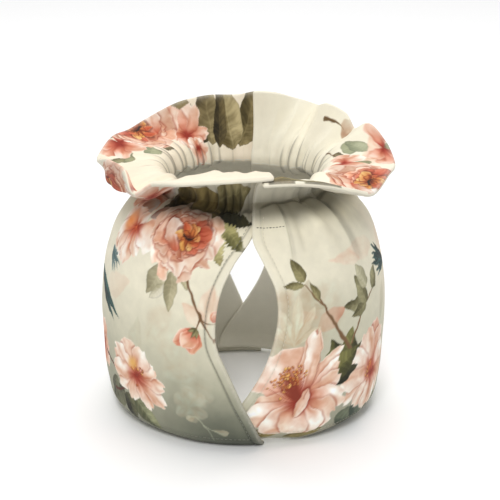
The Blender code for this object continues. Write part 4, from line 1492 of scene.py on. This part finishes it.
def new_material(name, **inputs):
    """A new material, its node tree and its shader with some inputs set."""
    material = bpy.data.materials.new(name)
    material.use_nodes = True
    tree = material.node_tree
    shader = tree.nodes["Principled BSDF"]
    give(tree, shader, {label.replace("_", " "): value for label, value in inputs.items()})
    return material, tree, shader


# %% The weave
def make_weave():
    """Plain weave: the height of the threads, and how shaded the gaps between them are."""
    tree, given, result, _ = new_tree(
        "Plain weave", "ShaderNodeTree",
        [("Place", "Vector", None), ("Thread spacing", "Float", 0.0005), ("Unevenness", "Float", 0.35)],
        [("Height", "Float"), ("Gap", "Float")],
    )
    place, spacing = given.outputs["Place"], given.outputs["Thread spacing"]
    split = add_node(tree, "ShaderNodeSeparateXYZ", {0: place})
    wander = times(tree, cloudy_node(tree, place, 260), spacing)
    counts, threads = [], []
    for axis in ("X", "Y"):
        at = reckon(tree, "DIVIDE", reckon(tree, "ADD", split.outputs[axis], wander), spacing)
        counts.append(reckon(tree, "FLOOR", at))
        wave = reckon(tree, "SINE", times(tree, at, math.pi))
        threads.append(reckon(tree, "ABSOLUTE", wave))
    over = reckon(tree, "FLOORED_MODULO", reckon(tree, "ADD", *counts), 2.0)
    weft = times(tree, over, threads[1])
    warp = times(tree, reckon(tree, "SUBTRACT", 1.0, over), threads[0])
    thread = reckon(tree, "ADD", weft, warp)

    # Threads are a little thick and thin along their length
    slubs = []
    for stretch in ((70, 1500, 1), (1500, 70, 1)):
        mapping = add_node(tree, "ShaderNodeMapping", {"Scale": stretch, "Vector": place})
        slubs.append(cloudy_node(tree, mapping.outputs[0], 1.0, 1.0))
    slub = times(tree, reckon(tree, "ADD", *slubs), given.outputs["Unevenness"])
    tree.links.new(reckon(tree, "ADD", thread, slub), result.inputs["Height"])
    gap = reckon(tree, "SUBTRACT", 1.0, thread)
    tree.links.new(times(tree, gap, gap), result.inputs["Gap"])
    return tree


weave = make_weave()
print("node group:", weave.name, "with", len(weave.nodes), "nodes")


# %% The rubbed and uneven colour of used cotton, with painted shade in its hollows
GAP_SHADE = 0.10  # how much darker the gaps between threads are
WORN_COLOUR = (0.80, 0.76, 0.66, 1)
ROUGHNESS = 0.76


def make_cotton_wear_and_shade():
    """Cotton's colour: mottled, with painted shade in the hollows and the gaps between threads, and paler
    where the edges are rubbed.
    """
    tree, given, result, _ = new_tree(
        "Cotton wear and painted shade", "ShaderNodeTree",
        [("Colour", "Color", (0.8, 0.8, 0.8, 1)), ("Place", "Vector", None), ("Gap", "Float", 0.0),
         ("Rubbed", "Float", 0.0), ("Painted shade", "Float", 0.0), ("Mottle", "Float", 0.08),
         ("Shade strength", "Float", 0.4)],
        [("Colour", "Color"), ("Roughness", "Float")],
    )
    place = given.outputs["Place"]
    patches = cloudy_node(tree, place, 170, 3.0)
    mottle = times(tree, reckon(tree, "SUBTRACT", patches, 0.5), given.outputs["Mottle"])
    gaps = times(tree, given.outputs["Gap"], GAP_SHADE)
    # Painted shade: the print is darkened where the points' shade value says the hollows are
    painted_darkening = times(tree, given.outputs["Painted shade"], given.outputs["Shade strength"])
    darker = times(tree, reckon(tree, "SUBTRACT", 1.0, gaps), reckon(tree, "SUBTRACT", 1.0, painted_darkening))
    tone = times(tree, darker, reckon(tree, "ADD", 1.0, mottle))
    toned = scaled_colour(tree, given.outputs["Colour"], tone)
    worn = times(tree, given.outputs["Rubbed"], cloudy_node(tree, place, 700, 2.0))
    paler = add_node(tree, "ShaderNodeMix", {"B": WORN_COLOUR}, data_type="RGBA")
    give(tree, paler, {"Factor": times(tree, worn, 0.45), "A": toned})
    tree.links.new(paler.outputs["Result"], result.inputs["Colour"])
    rough = reckon(tree, "ADD", ROUGHNESS, times(tree, patches, 0.12))
    rough = reckon(tree, "ADD", rough, times(tree, worn, 0.10))
    tree.links.new(rough, result.inputs["Roughness"])
    return tree


cotton_wear_and_shade = make_cotton_wear_and_shade()
print("node group:", cotton_wear_and_shade.name, "with", len(cotton_wear_and_shade.nodes), "nodes")


# %% The printed cloth's material
def read_attribute(tree, name, output):
    """The socket of a value that is kept on the points."""
    return add_node(tree, "ShaderNodeAttribute", attribute_name=name).outputs[output]


def cloth_material(name):
    """Printed cotton: the print's colours under weave, mottle, painted shade in the hollows, and wear."""
    material, tree, shader = new_material(
        name, Sheen_Weight=0.06, Sheen_Roughness=0.5, Specular_IOR_Level=0.35)
    place = read_attribute(tree, "Cloth place", "Vector")
    spacing = {"Place": place, "Thread spacing": 0.0005, "Unevenness": 0.35}
    threads = add_node(tree, "ShaderNodeGroup", spacing, node_tree=weave)
    # The print is darkened here by the painted shade kept on the points
    cotton = add_node(tree, "ShaderNodeGroup", {
        "Colour": read_attribute(tree, "Print", "Color"), "Place": place,
        "Gap": threads.outputs["Gap"], "Rubbed": read_attribute(tree, "Rubbed", "Fac"),
        "Painted shade": read_attribute(tree, "Painted shade", "Fac"), "Mottle": 0.10, "Shade strength": 0.78,
    }, node_tree=cotton_wear_and_shade)
    give(tree, shader, {"Base Color": cotton.outputs["Colour"], "Roughness": cotton.outputs["Roughness"]})
    add_bump(tree, shader, threads.outputs["Height"], 0.35, 0.0001)
    return material


materials = {-1: cloth_material("Printed cloth left"), 1: cloth_material("Printed cloth right")}
for name, (side, piece, points) in cloth.items():
    piece.data.materials.append(materials[side])
print("materials:", [material.name for material in materials.values()])


# %% [markdown]
# ## Sewing
#
# The turned hems are held by a line of machine stitches, and the top of the slot is held by a
# short dark row across the lap, where it would tear first. A stitch is a short bead of thread
# that dips into the cloth at both ends. Hundreds of the same thing along a line are what Geometry
# Nodes are for: the line is cut into steps, a bead is set on each step and turned along it.

# %% Lines on the cloth to sew along
SEAM_LIFT = 0.00012  # how far the middle of the thread stands off the cloth


def seam_line(side, places):
    """Points just above the outside of a panel, through places of (angle, up)."""
    angle, up = np.array(places, float).T
    edge = panel_edge(side, up)
    share = (side * angle - edge) / (180 - 2 * edge)
    points, way_out = panel_points(side, share, up, cloth_relief)
    return points + SEAM_LIFT * way_out


def beside_edge(side, back, low, high):
    """Angles and heights of a line one hem's width in from a panel's edge."""
    up = np.linspace(low, high, 90)
    angle = panel_edge(side, up) + HEM_WIDTH / edge_scale(up)
    return np.stack([side * (180 - angle if back else angle), up], 1)


def above_hem(side):
    """Angles and heights of the line round the bottom, above the turned hem."""
    edge = panel_edge(side, np.array([HEM_LINE]))[0]
    angle = np.linspace(edge + 4, 176 - edge, 240)
    return np.stack([side * angle, np.full(240, HEM_LINE)], 1)


HEM_SEAM = (9, NECK_UP - 14)  # where the seams beside the edges start and end
seams = {
    side: [seam_line(side, line) for line in (
        beside_edge(side, False, *HEM_SEAM), beside_edge(side, True, *HEM_SEAM), above_hem(side))]
    for side in (-1, 1)
}
across_slot = np.stack([np.linspace(6.8, 19.0, 40), np.linspace(137.4, 136.4, 40)], 1)
tacks = [seam_line(1, across_slot)]
lengths = [float(np.linalg.norm(np.diff(line, axis=0), axis=1).sum() / MM) for line in seams[1]]
print("seam lengths, mm:", [round(length) for length in lengths])


# %% A tree that sets stitches along lines
def make_stitcher():
    """Geometry Nodes: lines in, stitches out."""
    tree, given, result, keys = new_tree(
        "Stitches along a line", "GeometryNodeTree",
        [("Geometry", "Geometry", None), ("Stitch pitch", "Float", 0.0028),
         ("Stitch length", "Float", 0.0021), ("Thread thickness", "Float", 0.00042),
         ("Unevenness", "Float", 0.12), ("Seed", "Int", 7), ("Thread", "Material", None)],
        [("Geometry", "Geometry")],
    )
    given, link = given.outputs, tree.links.new
    to_curve = add_node(tree, "GeometryNodeMeshToCurve", {"Mesh": given["Geometry"]})
    steps = {"Curve": to_curve.outputs["Curve"], "Length": given["Stitch pitch"]}
    resample = add_node(tree, "GeometryNodeResampleCurve", steps, mode="LENGTH")

    bead = add_node(tree, "GeometryNodeMeshUVSphere", {"Segments": 6, "Rings": 5, "Radius": 0.5})
    size = add_node(tree, "GeometryNodeTransform", {"Geometry": bead.outputs["Mesh"]})
    thick = given["Thread thickness"]
    shape = add_node(tree, "ShaderNodeCombineXYZ", {"X": thick, "Y": thick, "Z": given["Stitch length"]})
    link(shape.outputs[0], size.inputs["Scale"])

    tangent = add_node(tree, "GeometryNodeInputTangent")
    along = {"Vector": tangent.outputs["Tangent"]}
    align = add_node(tree, "FunctionNodeAlignRotationToVector", along, axis="Z")
    random = add_node(tree, "FunctionNodeRandomValue", data_type="FLOAT")
    low, high = (reckon(tree, sign, 1.0, given["Unevenness"]) for sign in ("SUBTRACT", "ADD"))
    give(tree, random, {2: low, 3: high, "Seed": given["Seed"]})
    set_on = add_node(tree, "GeometryNodeInstanceOnPoints", {
        "Points": resample.outputs["Curve"], "Instance": size.outputs["Geometry"],
        "Rotation": align.outputs["Rotation"], "Scale": random.outputs[1],
    })

    realize = add_node(tree, "GeometryNodeRealizeInstances", {"Geometry": set_on.outputs["Instances"]})
    thread = {"Geometry": realize.outputs["Geometry"], "Material": given["Thread"]}
    finish = add_node(tree, "GeometryNodeSetMaterial", thread)
    link(finish.outputs["Geometry"], result.inputs["Geometry"])
    return tree, keys


stitcher, stitcher_inputs = make_stitcher()
print("tree:", stitcher.name, "with", len(stitcher.nodes), "nodes")


# %% Thread: twisted cotton, a little shiny
def thread_material(name, colour):
    """Sewing thread: two plies twisted together, seen as slanting bands."""
    material, tree, shader = new_material(name, Sheen_Weight=0.15, Roughness=0.6)
    place = tree.nodes.new("ShaderNodeTexCoord").outputs["Object"]
    bands = {"Scale": 900, "Distortion": 1.5, "Vector": place}
    ply = add_node(tree, "ShaderNodeTexWave", bands, bands_direction="DIAGONAL").outputs["Fac"]
    shade = reckon(tree, "ADD", 0.78, times(tree, ply, 0.22))
    tree.links.new(scaled_colour(tree, colour, shade), shader.inputs["Base Color"])
    add_bump(tree, shader, ply, 0.3, 0.00005)
    return material


thread_pale = thread_material("Thread cream", (0.70, 0.65, 0.52))
thread_sage = thread_material("Thread sage", (0.26, 0.26, 0.205))
thread_dark = thread_material("Thread dark", (0.10, 0.085, 0.06))


# %% Sew
def sew(name, lines, thread, pitch, length, thickness):
    """Stitches along lines of points, as one plain mesh."""
    mesh = bpy.data.meshes.new(name + "_lines")
    edges, first = [], 0
    for line in lines:
        edges += [(first + k, first + k + 1) for k in range(len(line) - 1)]
        first += len(line)
    mesh.from_pydata(np.concatenate(lines).tolist(), edges, [])
    base = placed(name + "_base", mesh)
    modifier = base.modifiers.new("Stitches", "NODES")
    modifier.node_group = stitcher
    for label, value in (("Stitch pitch", pitch), ("Stitch length", length),
                         ("Thread thickness", thickness), ("Seed", 7), ("Thread", thread)):
        modifier[stitcher_inputs[label]] = value
    evaluated = base.evaluated_get(bpy.context.evaluated_depsgraph_get())
    sewn = bpy.data.meshes.new_from_object(evaluated)
    sewn.name = name
    sewn.shade_smooth()
    bpy.data.objects.remove(base)
    print(name, "triangles:", sum(len(face.vertices) - 2 for face in sewn.polygons))
    return placed(name, sewn)


HEM_STITCH, SLOT_STITCH = (0.0026, 0.0019, 0.00030), (0.00185, 0.00125, 0.00055)
sewing = {
    "hem_stitches_left": (-1, sew("hem_stitches_left", seams[-1], thread_sage, *HEM_STITCH)),
    "hem_stitches_right": (1, sew("hem_stitches_right", seams[1], thread_pale, *HEM_STITCH)),
    "slot_stitches": (1, sew("slot_stitches", tacks, thread_dark, *SLOT_STITCH)),
}


# %% [markdown]
# ## The studio
#
# Plain pale floor, one very broad soft light overhead, a smaller one in front and above, which
# gives the frill its shadow, and a white surrounding light that keeps the shadows open. The plain
# Standard view keeps printed colours as bright on the screen as they are on the cloth.

# %% Floor
bpy.ops.mesh.primitive_plane_add(size=8, location=(0, 0, 0))
floor = bpy.context.object
floor.name = "studio_floor"
floor_paint, _, _ = new_material("Studio floor", Base_Color=(0.98, 0.98, 0.98, 1), Roughness=0.95)
floor.data.materials.append(floor_paint)
print("floor:", floor.name)


# %% Lights and surrounding light
AIM = (0, 0, 0.08)  # the middle of the cosy


def soft_light(name, place, size, power):
    """A round soft light at a place, turned towards the cosy."""
    light = bpy.data.lights.new(name, "AREA")
    light.shape, light.size, light.energy = "DISK", size, power
    lamp = placed(name, light)
    lamp.location = place
    from_lamp = Vector(AIM) - Vector(place)
    lamp.rotation_euler = from_lamp.to_track_quat("-Z", "Y").to_euler()


soft_light("Overhead light", (0, 0.8, 2.3), 2.6, 40)
soft_light("Front light", (-0.15, -1.1, 1.1), 0.45, 9.0)
world = bpy.data.worlds.new("Studio")
bpy.context.scene.world = world
world.use_nodes = True
background = world.node_tree.nodes["Background"]
give(world.node_tree, background, {"Color": (1, 1, 1, 1), "Strength": 0.48})
bpy.context.scene.view_settings.view_transform = "Standard"


# %% [markdown]
# ## The pieces and the solid model
#
# Every piece is tied to the root body, the solid panel that it stands for is hidden, and the
# area of one face of its cloth is printed.

# %% Root body, hidden solids and cloth areas
for name, (side, piece, points) in cloth.items():
    hand = "left" if side < 0 else "right"
    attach(piece, "root")
    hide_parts(f"panel_{hand}")
    area = sum(face.area for face in piece.data.polygons) / 2
    print(name, "one face of the cloth:", round(area, 4), "m2")
for name, (side, piece) in sewing.items():
    hand = "left" if side < 0 else "right"
    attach(piece, "root")
    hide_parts(f"panel_{hand}")
    print(name, "rides with its panel")
